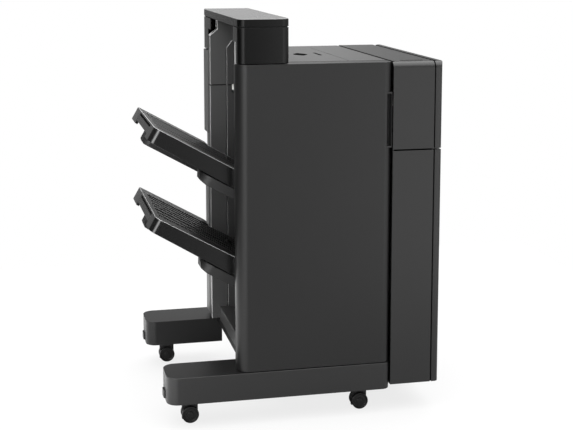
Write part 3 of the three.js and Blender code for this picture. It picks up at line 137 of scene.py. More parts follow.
def block(x0, x1, y0, y1, z0, z1):
    return prism([(x0, y0), (x1, y0), (x1, y1), (x0, y1)], z0, z1)


def arc(cx, cy, radius, start, turn, steps):
    return [
        (
            cx + radius * math.cos(start + turn * i / steps),
            cy + radius * math.sin(start + turn * i / steps),
        )
        for i in range(steps + 1)
    ]


def rounded(x0, x1, y0, y1, radii, steps=12):
    """A rectangle whose corners are rounded, counted from the near left one anticlockwise."""
    points = []
    corners = (
        (x0, y0, 1, 1, math.pi),
        (x1, y0, -1, 1, -math.pi / 2),
        (x1, y1, -1, -1, 0.0),
        (x0, y1, 1, -1, math.pi / 2),
    )
    for (x, y, sx, sy, start), radius in zip(corners, radii):
        if radius > 0:
            points += arc(x + sx * radius, y + sy * radius, radius, start, math.pi / 2, steps)
        else:
            points.append((x, y))
    return points


def rounded_block(x0, x1, y0, y1, z0, z1, radii, steps=12):
    return prism(rounded(x0, x1, y0, y1, radii, steps), z0, z1)


def bar(axis, a, b, start, end, radius, sides=40):
    return prism(arc(a, b, radius, 0, 2 * math.pi, sides)[:-1], start, end, axis)


def scaled(points, centre, across, along):
    return [
        (centre[0] + (x - centre[0]) * across, centre[1] + (y - centre[1]) * along) for x, y in points
    ]


def combine(target, others, operation):
    for other in others:
        step = target.modifiers.new("join", "BOOLEAN")
        step.object = other
        step.operation = operation
        step.solver = "EXACT"
    bpy.context.view_layer.update()
    evaluated = target.evaluated_get(bpy.context.evaluated_depsgraph_get())
    mesh = bpy.data.meshes.new_from_object(evaluated)
    target.modifiers.clear()
    target.data = mesh
    for other in others:
        bpy.data.objects.remove(other)
    return target


def cut(target, *others):
    return combine(target, others, "DIFFERENCE")


def join(target, *others):
    return combine(target, others, "UNION")


def merge(name, shapes):
    bm = bmesh.new()
    for shape in shapes:
        bm.from_mesh(shape.data)
        bpy.data.objects.remove(shape)
    return mesh_object(bm, name)


def turned(obj, matrix):
    obj.data.transform(matrix)
    return obj


# Materials: each is procedural, with broad mottling, fine grain and a slight change of shine


def grey(level):
    return (level, level, level, 1)


def map_range(tree, source, starts, ends=(0, 1), smooth=False):
    node = tree.nodes.new("ShaderNodeMapRange")
    if smooth:
        node.interpolation_type = "SMOOTHSTEP"
    node.inputs["From Min"].default_value = starts[0]
    node.inputs["From Max"].default_value = starts[1]
    node.inputs["To Min"].default_value = ends[0]
    node.inputs["To Max"].default_value = ends[1]
    tree.links.new(source, node.inputs["Value"])
    return node.outputs["Result"]


def maths(tree, operation, *values):
    node = tree.nodes.new("ShaderNodeMath")
    node.operation = operation
    for socket, value in zip(node.inputs, values):
        if hasattr(value, "links"):
            tree.links.new(value, socket)
        else:
            socket.default_value = value
    return node.outputs[0]


def colour_mix(tree, factor):
    node = tree.nodes.new("ShaderNodeMix")
    node.data_type = "RGBA"
    tree.links.new(factor, node.inputs["Factor"])
    return node


def noise(tree, place, scale, detail):
    node = tree.nodes.new("ShaderNodeTexNoise")
    node.inputs["Scale"].default_value = scale
    node.inputs["Detail"].default_value = detail
    tree.links.new(place.outputs["Object"], node.inputs["Vector"])
    return node.outputs["Fac"]


def band(tree, source, marks):
    """A soft mask that is one between the middle two marks and zero outside the outer two."""
    rising = map_range(tree, source, marks[:2], smooth=True)
    falling = map_range(tree, source, marks[2:], smooth=True)
    return maths(tree, "SUBTRACT", rising, falling)


def glinting(tree, place, plain, painted_highlight_level, tilt, sides):
    """Painted highlight: lightens the colour of rounded edges under a flat top that is tilted, and of those
    on the left if sides is set.
    """
    turn = tree.nodes.new("ShaderNodeVectorRotate")
    turn.rotation_type = "Y_AXIS"
    turn.inputs["Angle"].default_value = -tilt
    tree.links.new(place.outputs["Normal"], turn.inputs["Vector"])
    parts = tree.nodes.new("ShaderNodeSeparateXYZ")
    tree.links.new(turn.outputs["Vector"], parts.inputs["Vector"])
    mask = band(tree, parts.outputs["Z"], (0.3, 0.55, 0.9, 0.985))
    if sides:
        left = band(tree, parts.outputs["X"], (-0.985, -0.85, -0.5, -0.25))
        mask = maths(tree, "MAXIMUM", mask, left)
    edge = colour_mix(tree, mask)
    tree.links.new(plain, edge.inputs["A"])
    edge.inputs["B"].default_value = grey(painted_highlight_level)
    return edge.outputs["Result"]


def duller_top(tree, place, sheen, ratio):
    """Multiplies the roughness of faces that look upward."""
    facing = tree.nodes.new("ShaderNodeSeparateXYZ")
    tree.links.new(place.outputs["Normal"], facing.inputs["Vector"])
    upward = map_range(tree, facing.outputs["Z"], (0.55, 0.8), (1, ratio))
    return maths(tree, "MULTIPLY", sheen, upward)


def material(name, level, rough, grain=1.0, tint=(1.0, 1.0, 1.0), metal=0.0,
             specular=0.5, mottle=0.07, top=None, glint=None):
    mat = bpy.data.materials.new(name)
    mat.use_nodes = True
    tree = mat.node_tree
    shader = tree.nodes["Principled BSDF"]
    shader.inputs["Metallic"].default_value = metal
    shader.inputs["Specular IOR Level"].default_value = specular
    place = tree.nodes.new("ShaderNodeTexCoord")
    fine = noise(tree, place, 1400.0, 2.0)

    blend = colour_mix(tree, noise(tree, place, 7.0, 4.0))
    for socket, change in (("A", 1 - mottle), ("B", 1 + mottle)):
        blend.inputs[socket].default_value = [level * t * change for t in tint] + [1.0]
    colour = blend.outputs["Result"]
    # Painted highlight: rounded edges get a lighter colour in place of the light they would catch.
    if glint:
        colour = glinting(tree, place, colour, *glint)
    tree.links.new(colour, shader.inputs["Base Color"])

    sheen = map_range(tree, fine, (0, 1), (rough * 0.9, rough * 1.1))
    if top:
        sheen = duller_top(tree, place, sheen, top / rough)
    tree.links.new(sheen, shader.inputs["Roughness"])

    relief = tree.nodes.new("ShaderNodeBump")
    relief.inputs["Strength"].default_value = 0.12 * grain
    relief.inputs["Distance"].default_value = 0.2 * MM
    tree.links.new(fine, relief.inputs["Height"])
    tree.links.new(relief.outputs["Normal"], shader.inputs["Normal"])
    return mat


DOOR = material("door plastic", 0.007, 0.38, specular=0.3)
HEAD = material("head plastic", 0.002, 0.26, specular=0.2)
# The cap's rounded top edge carries a painted highlight (glint).
CAP = material("head cap plastic", 0.002, 0.27, specular=0.18, glint=(0.2, 0, False))
# TOP is the dock plastic with a lighter colour, so the top faces of the top cover and jam door read
# brighter: painted light.
TOP = material("top cover plastic", 0.031, 0.38, specular=0.4)
DOCK = material("dock plastic", 0.007, 0.38, specular=0.4)
BASE = material("leg plastic", 0.004, 0.38)
# REAR is the leg plastic with less shine, so the rear leg reads darker, as if shaded by the tower: painted
# shade.
REAR = material("rear leg plastic", 0.004, 0.42, specular=0.3)
# The tray's rounded top edges carry a painted highlight (glint).
TRAY = material("tray plastic", 0.003, 0.22, grain=0.04, top=0.5, glint=(0.4, SLOPE, False))
RIB = material("tray rib plastic", 0.003, 0.45)
BRACKET = material("tray base plastic", 0.006, 0.5, specular=0.35)
END = material("tray end plastic", 0.022, 0.42)
# The bay wall and fence have painted highlights on their rounded top and left edges (glint).
BAY = material("bay plastic", 0.024, 0.36, specular=1.0, glint=(0.5, 0, True))
FENCE = material("fence plastic", 0.022, 0.36, glint=(0.6, 0, True))
# POST is far lighter than the other plastics so the post's thin left edge shows as a bright lit line:
# painted highlight.
POST = material("post plastic", 0.36, 0.4)
COLUMN = material("column plastic", 0.07, 0.42)
SILL = material("sill plastic", 0.04, 0.36)
DARK = material("dark plastic", 0.004, 0.5, specular=0.3)
# SHADE is painted shade: a near-black matte sheet put into gaps, grooves and recesses in place of the shade
# that falls there.
SHADE = material("shaded lining", 0.002, 0.9, specular=0.05)
RUBBER = material("rubber", 0.008, 0.7, specular=0.3)
WHEEL = material("wheel rubber", 0.003, 0.4, specular=0.3)
STEEL = material("zinc sheet", 0.42, 0.38, metal=0.9, mottle=0.12)
NYLON = material("pale nylon", 0.62, 0.45, tint=(1.0, 1.0, 0.95))
GREEN = material("green plastic", 0.16, 0.42, tint=(0.2, 1.0, 0.45))
BOARD = material("circuit board", 0.06, 0.4, tint=(0.3, 1.0, 0.5))


def piece(obj, name, mat, body, nodes=(), edge=0.8, segments=2, broad=None, wide=None):
    """Places a finished shape on its body, with rounded edges: wide between points that broad picks."""
    bm = bmesh.new()
    bm.from_mesh(obj.data)
    bmesh.ops.remove_doubles(bm, verts=bm.verts, dist=0.001)
    bmesh.ops.dissolve_limit(bm, angle_limit=FLAT_ANGLE, verts=bm.verts, edges=bm.edges)
    if broad:
        weight = bm.edges.layers.float.new("bevel_weight_edge")
        for side in bm.edges:
            if side.calc_face_angle(0) > EDGE_ANGLE:
                side[weight] = 1.0 if all(broad(vert.co) for vert in side.verts) else edge / wide
    for vert in bm.verts:
        vert.co = to_row(*vert.co)
    for face in bm.faces:
        face.smooth = True
    bm.to_mesh(obj.data)
    bm.free()
    obj.data.materials.clear()
    obj.data.materials.append(mat)
    obj.name = name
    if edge:
        round_edges = obj.modifiers.new("edges", "BEVEL")
        round_edges.width = (wide if broad else edge) * MM
        round_edges.segments = segments
        round_edges.limit_method = "WEIGHT" if broad else "ANGLE"
        round_edges.angle_limit = EDGE_ANGLE
        round_edges.harden_normals = True
    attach(obj, body)
    if nodes:
        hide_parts(*nodes)
    return obj


def lining(obj, name, body="frame"):
    """Painted shade: a near-black sheet that closes the view into a gap, in place of the shade there."""
    return piece(obj, name, SHADE, body, edge=0)


# Front door

def front_door():
    front, left_radius, right_radius = 3.8, 30.0, 22.0
    shell = rounded_block(
        0, TOWER_WIDTH, front, DOOR_BACK, DOOR_BOTTOM, BODY_TOP, (left_radius, right_radius, 0, 0), 16,
    )
    hollow = rounded_block(
        WALL, TOWER_WIDTH - WALL, front + WALL, DOOR_BACK + OVER, DOOR_BOTTOM + WALL, BODY_TOP - WALL,
        (left_radius - WALL, right_radius - WALL, 0, 0), 16,
    )
    post_room_right, post_room_front = 80.0, 44.0
    post_room = block(
        -OVER, post_room_right, post_room_front, DOOR_BACK + OVER, DOOR_BOTTOM - OVER, BODY_TOP + OVER,
    )
    cut(shell, hollow, post_room)

    grip_left, grip_right, grip_back = 389.0, 401.0, 24.8
    grip_bottom, grip_top = 711.0, 846.0
    cup_wall, cup_cheek, cup_lap = 4.0, 1.2, 1.5
    cup = block(
        grip_left - cup_wall, grip_right + cup_cheek, front + cup_lap, grip_back + cup_wall,
        grip_bottom - cup_wall, grip_top + cup_wall,
    )
    join(shell, cup)
    grip = block(grip_left, grip_right, -OVER, grip_back, grip_bottom, grip_top)

    hole_radius, hole_height = 2.9, 8.0
    holes = [
        bar("z", HINGE_X, HINGE_Y, z - OVER, z + hole_height, hole_radius)
        for z in (DOOR_BOTTOM, BODY_TOP - WALL)
    ]
    groove_front, groove_depth = 56.0, 2.0
    groove = block(
        -OVER, TOWER_WIDTH + OVER, groove_front, DOOR_BACK + OVER, BODY_TOP - groove_depth, BODY_TOP + OVER,
    )
    cut(shell, grip, groove, *holes)
    piece(shell, "door_panel", DOOR, "front_door", ["front_door"], edge=1.1, segments=3)


front_door()


# Legs and casters

def leg(x0, x1, y0, radii, bumper=True):
    y1 = y0 + LEG_DEPTH
    shell = rounded_block(x0, x1, y0, y1, LEG_BOTTOM, LEG_TOP, radii, 14)
    hollow = rounded_block(
        x0 + WALL, x1 - WALL, y0 + WALL, y1 - WALL, LEG_BOTTOM - OVER, LEG_TOP - WALL,
        [max(radius - WALL, 0) for radius in radii], 14,
    )
    cut(shell, hollow)
    if bumper:
        reach, lap, half_width, radius = 5.0, 1.5, 15.0, 3.0
        bottom, top = 71.8, 91.8
        middle = (y0 + y1) / 2
        join(shell, rounded_block(
            x0 - reach, x0 + lap, middle - half_width, middle + half_width, bottom, top,
            (radius, 0, 0, radius), 4,
        ))
    return shell


def legs():
    rear_leg_right, rear_foot_length = 40.0, 130.0
    big, small = 30.0, 20.0
    front = leg(LEG_LEFT, TOWER_WIDTH, 0, (big, small, 0, big))
    piece(front, "front_leg", BASE, "frame", ["front_leg_cover"], edge=1.2, segments=3)
    rear = leg(LEG_LEFT, rear_leg_right, LEG_PITCH, (big, 0, 0, big))
    piece(rear, "rear_leg", REAR, "frame", ["rear_leg_cover"], edge=1.2, segments=3)
    foot = leg(TOWER_WIDTH - rear_foot_length, TOWER_WIDTH, LEG_PITCH, (0, 0, small, 0), False)
    piece(foot, "rear_foot", BASE, "frame", ["rear_foot_cover"], edge=1.2, segments=3)


legs()


def caster_hood(corner, x, y, centre):
    half_length, half_web, half_cap = 20.5, 5.0, 17.0
    roof_gap, cap_height, cap_radius = 4.5, 15.5, 9.0
    web_below_axle, lap = 14.0, 8.0
    roof = centre + WHEEL_RADIUS + roof_gap
    x0, x1 = x - half_length, x + half_length
    web = block(x0, x1, y - half_web, y + half_web, centre - web_below_axle, roof + lap)
    cap = rounded_block(x0, x1, y - half_cap, y + half_cap, roof, roof + cap_height, [cap_radius] * 4, 8)
    stem_offset, stem_radius, stem_top = 6.0, 5.0, 41.5
    stem = bar("z", x + stem_offset, y, roof + lap, roof + stem_top, stem_radius, 28)
    hood = join(web, cap, stem)
    axle_room = 3.8
    cut(hood, bar("y", x, centre, y - 2 * half_web, y + 2 * half_web, axle_room, 24))
    name = "caster_hood_" + corner
    piece(hood, name, DARK, "swivel_" + corner, [name], edge=1.0)


def caster_wheels(corner, x, y, centre):
    inner, outer, axle_end = 6.0, 17.0, 11.0
    disc_radius = centre - 0.05
    axle_radius, dish_radius, boss_radius = 3.2, 17.5, 8.5
    dish_depth, boss_depth, boss_sunk = 2.7, 5.4, 0.2

    def round_part(side, a, b, radius, sides):
        start, end = sorted((y + side * a, y + side * b))
        return bar("y", x, centre, start, end, radius, sides)

    shapes = [bar("y", x, centre, y - axle_end, y + axle_end, axle_radius, 24)]
    for side in (-1, 1):
        disc = round_part(side, inner, outer, disc_radius, 56)
        cut(disc, round_part(side, outer - dish_depth, outer + OVER, dish_radius, 48))
        shapes.append(disc)
        shapes.append(round_part(side, outer - boss_depth, outer - boss_sunk, boss_radius, 32))
    wheels = merge("wheels", shapes)
    name = "caster_wheels_" + corner
    piece(wheels, name, WHEEL, "wheels_" + corner, [name], edge=1.4, segments=3)


def casters():
    centre = WHEEL_RADIUS * math.cos(math.pi / 16)
    for row, y in (("front", LEG_DEPTH / 2), ("rear", LEG_PITCH + LEG_DEPTH / 2)):
        for side, x in (("left", CASTER_LEFT), ("right", CASTER_RIGHT)):
            corner = row + "_" + side
            caster_hood(corner, x, y, centre)
            caster_wheels(corner, x, y, centre)


casters()


# Head

def head():
    left, front, near_radius, far_radius = 4.8, 7.8, 19.0, 6.0
    bottom, seam_bottom, seam_top = 927.9, 1018.0, 1020.0
    outer_radii = (near_radius, near_radius, far_radius, far_radius)
    inner_radii = [radius - WALL for radius in outer_radii]

    def inner_block(z0, z1):
        return rounded_block(
            left + WALL, HEAD_RIGHT - WALL, front + WALL, BODY_BACK - WALL, z0, z1, inner_radii,
        )

    housing = rounded_block(left, HEAD_RIGHT, front, BODY_BACK, bottom, seam_bottom, outer_radii)
    mouth_front, mouth_back, mouth_right = 81.0, 435.0, 12.8
    far_step_back, far_step_top = 478.3, 987.0
    near_step_front, near_step_top = 44.0, 980.3
    below, above = bottom - OVER, seam_bottom + OVER
    openings = (
        (mouth_front, mouth_back, above),
        (mouth_back - OVER, far_step_back, far_step_top),
        (near_step_front, mouth_front + OVER, near_step_top),
    )
    rooms = [block(left - OVER, mouth_right, y0, y1, below, z1) for y0, y1, z1 in openings]
    cut(housing, inner_block(below, above), *rooms)
    partition_left, partition_right = 6.3, 80.5
    join(housing, block(
        partition_left, partition_right, mouth_front - WALL, mouth_front, near_step_top, seam_bottom,
    ))
    piece(housing, "head_housing", HEAD, "frame", ["head_housing"], edge=0.9)

    def top_edge(co):
        return co.z > HEAD_TOP - 0.05

    cap = rounded_block(left, HEAD_RIGHT, front, BODY_BACK, seam_top, HEAD_TOP, outer_radii)
    # The broad bevel on the cap's top edge carries its painted highlight.
    piece(cap, "head_cap", CAP, "frame", ["head_cap"], edge=1.2, segments=5, broad=top_edge, wide=2.6)
    lap = 1.0
    piece(inner_block(seam_bottom + CLEARANCE, seam_top + lap), "head_cap_lip", DARK, "frame", edge=0)


head()


# Top cover and jam door

TOP_COVER_LEFT = HEAD_RIGHT + CLEARANCE
TOP_COVER_FRONT = DOOR_BACK + 1.5
JAM_HINGE_X, JAM_HINGE_Z, JAM_HINGE_HALF = 148.0, 921.0, 5.4
JAM_HINGE_ENDS = (85.5, 488.5)
LUG_FRONT, LUG_BACK = 67.75, 503.25
TOP_SKIN = 1.5


def top_cover():
    opening_right, opening_front = 306.25, 70.75
    cover = rounded_block(
        TOP_COVER_LEFT, TOWER_WIDTH, TOP_COVER_FRONT, BODY_BACK, COVER_BOTTOM, BODY_TOP, (0, 0, 6, 0),
    )
    hollow = block(
        TOP_COVER_LEFT - OVER, TOWER_WIDTH - WALL, TOP_COVER_FRONT + WALL, BODY_BACK - WALL,
        COVER_BOTTOM - OVER, BODY_TOP - WALL,
    )
    opening = block(
        TOP_COVER_LEFT - OVER, opening_right, opening_front, LUG_BACK, COVER_BOTTOM - OVER, BODY_TOP + OVER,
    )
    cut(cover, hollow, opening)
    lugs = [
        block(
            JAM_HINGE_X - JAM_HINGE_HALF, JAM_HINGE_X + JAM_HINGE_HALF, y, y + WALL, COVER_BOTTOM,
            BODY_TOP - TOP_SKIN,
        )
        for y in (LUG_FRONT, LUG_BACK)
    ]
    near_end, far_end = JAM_HINGE_ENDS
    pin_radius = 2.0
    pins = [
        bar("y", JAM_HINGE_X, JAM_HINGE_Z, start, end, pin_radius, 20)
        for start, end in ((LUG_FRONT, near_end), (far_end, LUG_BACK + WALL))
    ]
    join(cover, *lugs, *pins)
    piece(cover, "top_cover", TOP, "frame", ["top_cover"], edge=0.9)


def lens_outline(centre, half_width, half_length):
    """A pointed oval: two cosine arcs that meet at its ends."""
    count = 24
    points = []
    for side in (-1, 1):
        for i in range(count):
            along = (i / count - 0.5) * side
            across = side * half_width * math.cos(math.pi * along)
            points.append((centre[0] - across, centre[1] - 2 * along * half_length))
    return points


def jam_door():
    left, right, front, back = 139.0, 304.6, 72.0, 502.5
    hollow_right, hollow_front, block_front = 302.5, 74.5, 71.5
    bottom, above = 915.4, BODY_TOP + OVER
    door = block(left, right, front, back, bottom, BODY_TOP)
    cut(door, block(left + WALL, hollow_right, hollow_front, back - WALL, bottom - OVER, BODY_TOP - WALL))

    near_end, far_end = JAM_HINGE_ENDS
    blocks = [
        block(left, JAM_HINGE_X + JAM_HINGE_HALF, y0, y1, bottom, BODY_TOP - TOP_SKIN)
        for y0, y1 in ((block_front, near_end + WALL), (far_end - WALL, back))
    ]
    join(door, *blocks)
    centre, half_width, half_length, lens_floor = (226.0, 280.0), 19.0, 40.0, 916.4
    lens = lens_outline(centre, half_width, half_length)
    cup_width_share, cup_length_share = 1.15, 1.07
    cup_outline = scaled(lens, centre, cup_width_share, cup_length_share)
    cup = prism(cup_outline, lens_floor - WALL, BODY_TOP - TOP_SKIN)
    slit_left, slit_right, slit_front, slit_back, slit_floor = 270.5, 278.5, 238.5, 323.5, 922.4
    slit_wall = 3.5
    slit_cup = block(
        slit_left - slit_wall, slit_right + slit_wall, slit_front - WALL, slit_back + WALL,
        slit_floor - WALL, BODY_TOP - TOP_SKIN,
    )
    join(door, cup, slit_cup)
    slit = block(slit_left, slit_right, slit_front, slit_back, slit_floor, above)
    cut(door, prism(lens, lens_floor, above), slit)
    hole_radius = 2.5
    holes = [
        bar("y", JAM_HINGE_X, JAM_HINGE_Z, start, end, hole_radius, 24)
        for start, end in ((front - OVER, near_end), (far_end, back + OVER))
    ]
    cut(door, *holes)
    piece(door, "jam_door", TOP, "top_door", ["top_door"], edge=0.7)

    # The lens recess and the slit are lined with painted shade: near-black sheets in place of their shade.
    sunk, off_floor, lens_sheet, slit_sheet = 0.4, 0.1, 0.5, 0.3
    recess = prism(lens, lens_floor + off_floor, BODY_TOP - sunk)
    inner_width_share, inner_length_share = 0.94, 0.97
    inner_lens = scaled(lens, centre, inner_width_share, inner_length_share)
    cut(recess, prism(inner_lens, lens_floor + off_floor + lens_sheet, above))
    lining(recess, "jam_door_recess", "top_door")
    side = 0.5
    gutter = block(slit_left, slit_right, slit_front, slit_back, slit_floor + off_floor, BODY_TOP - sunk)
    cut(gutter, block(
        slit_left + side, slit_right - side, slit_front + side, slit_back - side,
        slit_floor + off_floor + slit_sheet, above,
    ))
    lining(gutter, "jam_door_slit", "top_door")


top_cover()
jam_door()


# Docking unit

DOCK_LEFT, DOCK_RIGHT = 406.5, 516.6
DOCK_FRONT, DOCK_BACK = 7.7, 567.7
DOCK_BOTTOM = 73.8
SPLIT_LOW, SPLIT_HIGH = 696.6, 700.6
DOCK_BEND = 18.0
REBATE_FRONT, REBATE_DEPTH = 20.0, 2.6


def dock_profile(inset, bottom):
    """The side view of the upper cover, with its rounded front top edge."""
    bend_y, bend_z = DOCK_FRONT + DOCK_BEND, BODY_TOP - DOCK_BEND
    points = [(DOCK_BACK - inset, bottom), (DOCK_BACK - inset, BODY_TOP - inset)]
    points += arc(bend_y, bend_z, DOCK_BEND - inset, math.pi / 2, math.pi / 2, 14)
    points.append((DOCK_FRONT + inset, bottom))
    return points


def entry_slot(x0, x1):
    return block(x0, x1, ENTRY_FRONT, ENTRY_BACK, ENTRY_BOTTOM, ENTRY_TOP)


def top_rebate(x0, x1):
    return block(x0, x1, REBATE_FRONT, DOCK_BACK + OVER, BODY_TOP - REBATE_DEPTH, BODY_TOP + OVER)


def dock_covers():
    upper = prism(dock_profile(0, SPLIT_HIGH), DOCK_LEFT, DOCK_RIGHT, "x")
    hollow = prism(dock_profile(WALL, SPLIT_HIGH - OVER), DOCK_LEFT - OVER, DOCK_RIGHT - WALL, "x")
    slit_left, slit_right, slit_front, slit_back, slit_depth = 433.5, 495.5, 38.0, 50.0, 2.2
    slit = block(slit_left, slit_right, slit_front, slit_back, BODY_TOP - slit_depth, BODY_TOP + OVER)
    rebate_width = 5.5
    cut(upper, hollow)
    cut(upper, entry_slot(DOCK_RIGHT - WALL - OVER, DOCK_RIGHT + OVER))
    cut(upper, slit)
    cut(upper, top_rebate(DOCK_LEFT - OVER, DOCK_LEFT + rebate_width))
    piece(upper, "upper_dock_cover", DOCK, "frame", ["dock_upper_cover"], edge=0.9)
    lower = block(DOCK_LEFT, DOCK_RIGHT, DOCK_FRONT, DOCK_BACK, DOCK_BOTTOM, SPLIT_LOW)
    cut(lower, block(
        DOCK_LEFT - OVER, DOCK_RIGHT - WALL, DOCK_FRONT + WALL, DOCK_BACK - WALL, DOCK_BOTTOM + WALL,
        SPLIT_LOW + OVER,
    ))
    piece(lower, "lower_dock_cover", DOCK, "frame", ["dock_lower_cover"], edge=0.9)


def dock_linings():
    # Painted shade: near-black sheets behind the seam between the covers, under the top gaps and rebates,
    # and in the gap beside the end panel.
    inset, lap, sheet = WALL + CLEARANCE, 4.0, 1.0
    seam = block(
        DOCK_LEFT + inset, DOCK_RIGHT - inset, DOCK_FRONT + inset, DOCK_BACK - inset, SPLIT_LOW - lap,
        SPLIT_HIGH + lap,
    )
    inner = inset + sheet
    cut(seam, block(
        DOCK_LEFT - OVER, DOCK_RIGHT - inner, DOCK_FRONT + inner, DOCK_BACK - inner,
        SPLIT_LOW - lap - OVER, SPLIT_HIGH + lap + OVER,
    ))
    lining(seam, "dock_seam_lining")

    sheet_bottom, sheet_top, sheet_front, short = BODY_TOP - 3, BODY_TOP - 2.4, REBATE_FRONT + 2, 10.0
    left_sheet_left, left_sheet_right, right_sheet_right = 405.3, 411.8, 524.4
    gap_left, gap_right = DOCK_RIGHT + 0.2, DOCK_RIGHT + 3
    gap_front, gap_back = DOCK_FRONT + 2.5, DOCK_FRONT + 6
    gap_bottom, gap_top, gap_end = 75.0, BODY_TOP - 20, 1.0
    grooves = [
        block(left_sheet_left, left_sheet_right, sheet_front, DOCK_BACK - 4, sheet_bottom, sheet_top),
        block(gap_left, right_sheet_right, sheet_front, DOCK_BACK - short, sheet_bottom, sheet_top),
        block(gap_left, gap_right, gap_front, gap_back, gap_bottom, SPLIT_LOW - gap_end),
        block(gap_left, gap_right, gap_front, gap_back, SPLIT_HIGH + gap_end, gap_top),
    ]
    lining(merge("grooves", grooves), "dock_groove_linings")


def end_panel(bottom, top, ties):
    gap, radius = 3.2, 11.0
    shell = rounded_block(
        DOCK_RIGHT + gap, PANEL_RIGHT, DOCK_FRONT, DOCK_BACK, bottom, top, (0, radius, 0, 0),
    )
    cut(shell, block(
        DOCK_RIGHT, PANEL_RIGHT - WALL, DOCK_FRONT + radius, DOCK_BACK - WALL, bottom + WALL, top - WALL,
    ))
    tie_front, tie_back = DOCK_FRONT + radius + WALL, DOCK_BACK - 2 * WALL
    plates = [
        block(DOCK_RIGHT + CLEARANCE, PANEL_RIGHT - WALL, tie_front, tie_back, z, z + WALL) for z in ties
    ]
    return join(shell, *plates)


def end_panels():
    lower_ties, upper_ties = (91.8, 660.6), (718.6, 848.0)
    lower = end_panel(DOCK_BOTTOM, SPLIT_LOW, lower_ties)
    piece(lower, "lower_end_panel", DOCK, "frame", ["lower_end_panel"], edge=0.9)
    upper = end_panel(SPLIT_HIGH, BODY_TOP, upper_ties)
    envelope = prism(dock_profile(0, SPLIT_HIGH), DOCK_RIGHT - OVER, PANEL_RIGHT + OVER, "x")
    combine(upper, [envelope], "INTERSECT")
    rebate_width, notch_right, notch_depth = 8.0, 531.3, 8.0
    cut(upper, top_rebate(DOCK_RIGHT, DOCK_RIGHT + rebate_width))
    cut(upper, entry_slot(DOCK_RIGHT, PANEL_RIGHT + OVER))
    cut(upper, block(
        DOCK_RIGHT, notch_right, DOCK_BACK - notch_depth, DOCK_BACK + OVER, BODY_TOP - notch_depth,
        BODY_TOP + OVER,
    ))
    piece(upper, "upper_end_panel", DOCK, "frame", ["upper_end_panel"], edge=0.9)


dock_covers()
dock_linings()
end_panels()


# Bay: far wall, stack fence with its flag, sill and near post

def bay_wall():
    left, right, front, back, bottom, top = 1.0, 47.0, 427.0, 452.0, 155.0, 1016.5
    wall = block(left, right, front, back, bottom, top)
    cut(wall, block(left + WALL, right + OVER, front + WALL, back - WALL, bottom - OVER, top + OVER))
    slant_low, slant_high, slant_right = 971.0, 988.3, 22.5
    corner = [
        (left - OVER, slant_low), (left, slant_low), (slant_right, slant_high), (slant_right, top + OVER),
        (left - OVER, top + OVER),
    ]
    cut(wall, prism(corner, front - OVER, back + OVER, "y"))
    wing_right, wing_bottom = 77.7, 930.0
    join(wall, block(right - WALL, wing_right, front, front + WALL, wing_bottom, top))
    # The seam is a near-black strip laid on the wall: painted shade of the seam's gap.
    proud, sunk, seam_back = 0.1, 1.0, back - 0.5
    seam = block(left - proud, right - proud, front - proud, front + sunk, SEAM_BOTTOM, SEAM_TOP)
    join(seam, block(left - proud, left + sunk, front - proud, seam_back, SEAM_BOTTOM, SEAM_TOP))
    lining(seam, "bay_wall_seam")
    piece(wall, "bay_far_wall", BAY, "frame", ["bay_wall"], edge=2.0, segments=4)


def stack_fence():
    left, face, right = 47.5, 78.0, 80.5
    bottom, top, peak_x, peak, left_top = 190.3, 946.0, 62.75, 956.0, 936.0
    near_back, far_front = 80.3, 420.0
    gable = [(left, bottom), (right, bottom), (right, top), (peak_x, peak), (left, left_top)]
    fence = block(face, right, BAY_FRONT, BAY_BACK, bottom, top)
    join(fence, prism(gable, BAY_FRONT, near_back, "y"), prism(gable, far_front, BAY_BACK, "y"))
    slot_half, slot_bottom, slot_top = 6.0, 206.9, 873.9
    slots = [
        block(face - OVER, right + OVER, y - slot_half, y + slot_half, slot_bottom, slot_top)
        for y in ARM_MIDDLES
    ]
    cut(fence, *slots)

    room_left, room_right, room_bottom, room_top, side_gap = 61.8, 73.2, 809.0, 834.4, 0.5
    cut(fence, block(room_left, room_right, far_front - OVER, BAY_BACK + OVER, room_bottom, room_top))
    flag_front, flag_back, flag_bottom, flag_top = 420.9, 425.2, 817.0, 832.7
    flag = block(
        room_left + side_gap, room_right - side_gap, flag_front, flag_back, flag_bottom, flag_top,
    )
    piece(flag, "sensor_flag", NYLON, "stack_flag", ["stack_flag"], edge=0.5)
    # The flange's seam is a near-black strip: painted shade of the seam's gap.
    proud, sunk = 0.1, 1.0
    seam_left, seam_right = left + 1, room_left - 0.3
    seam = block(seam_left, seam_right, far_front - proud, far_front + sunk, SEAM_BOTTOM, SEAM_TOP)
    lining(seam, "stack_fence_seam")
    axle_y, axle_z, axle_left, axle_right, axle_radius = 423.5, 829.0, 65.8, 77.8, 2.0
    cut(fence, bar("x", axle_y, axle_z, axle_left, axle_right, axle_radius, 20))

    def flange_edge(co):
        on_face = far_front - 1 < co.y < far_front + 0.05
        return on_face and (co.x < left + 0.1 or co.z > left_top - 6)

    # The broad bevels on the flange's left and top edges carry its painted highlight.
    piece(
        fence, "stack_fence", FENCE, "frame", ["stack_fence"], edge=1.2, segments=4,
        broad=flange_edge, wide=3.2,
    )


def bay_sill():
    left, right, bottom, top = 24.0, 77.7, 150.0, 190.0
    outline = [
        (left, bottom), (left + WALL, bottom), (left + WALL, top - WALL), (right, top - WALL), (right, top),
        (left, top),
    ]
    sill = prism(outline, BAY_FRONT, BAY_BACK, "y")
    piece(sill, "bay_sill", SILL, "frame", ["bay_sill"], edge=1.2, segments=3)


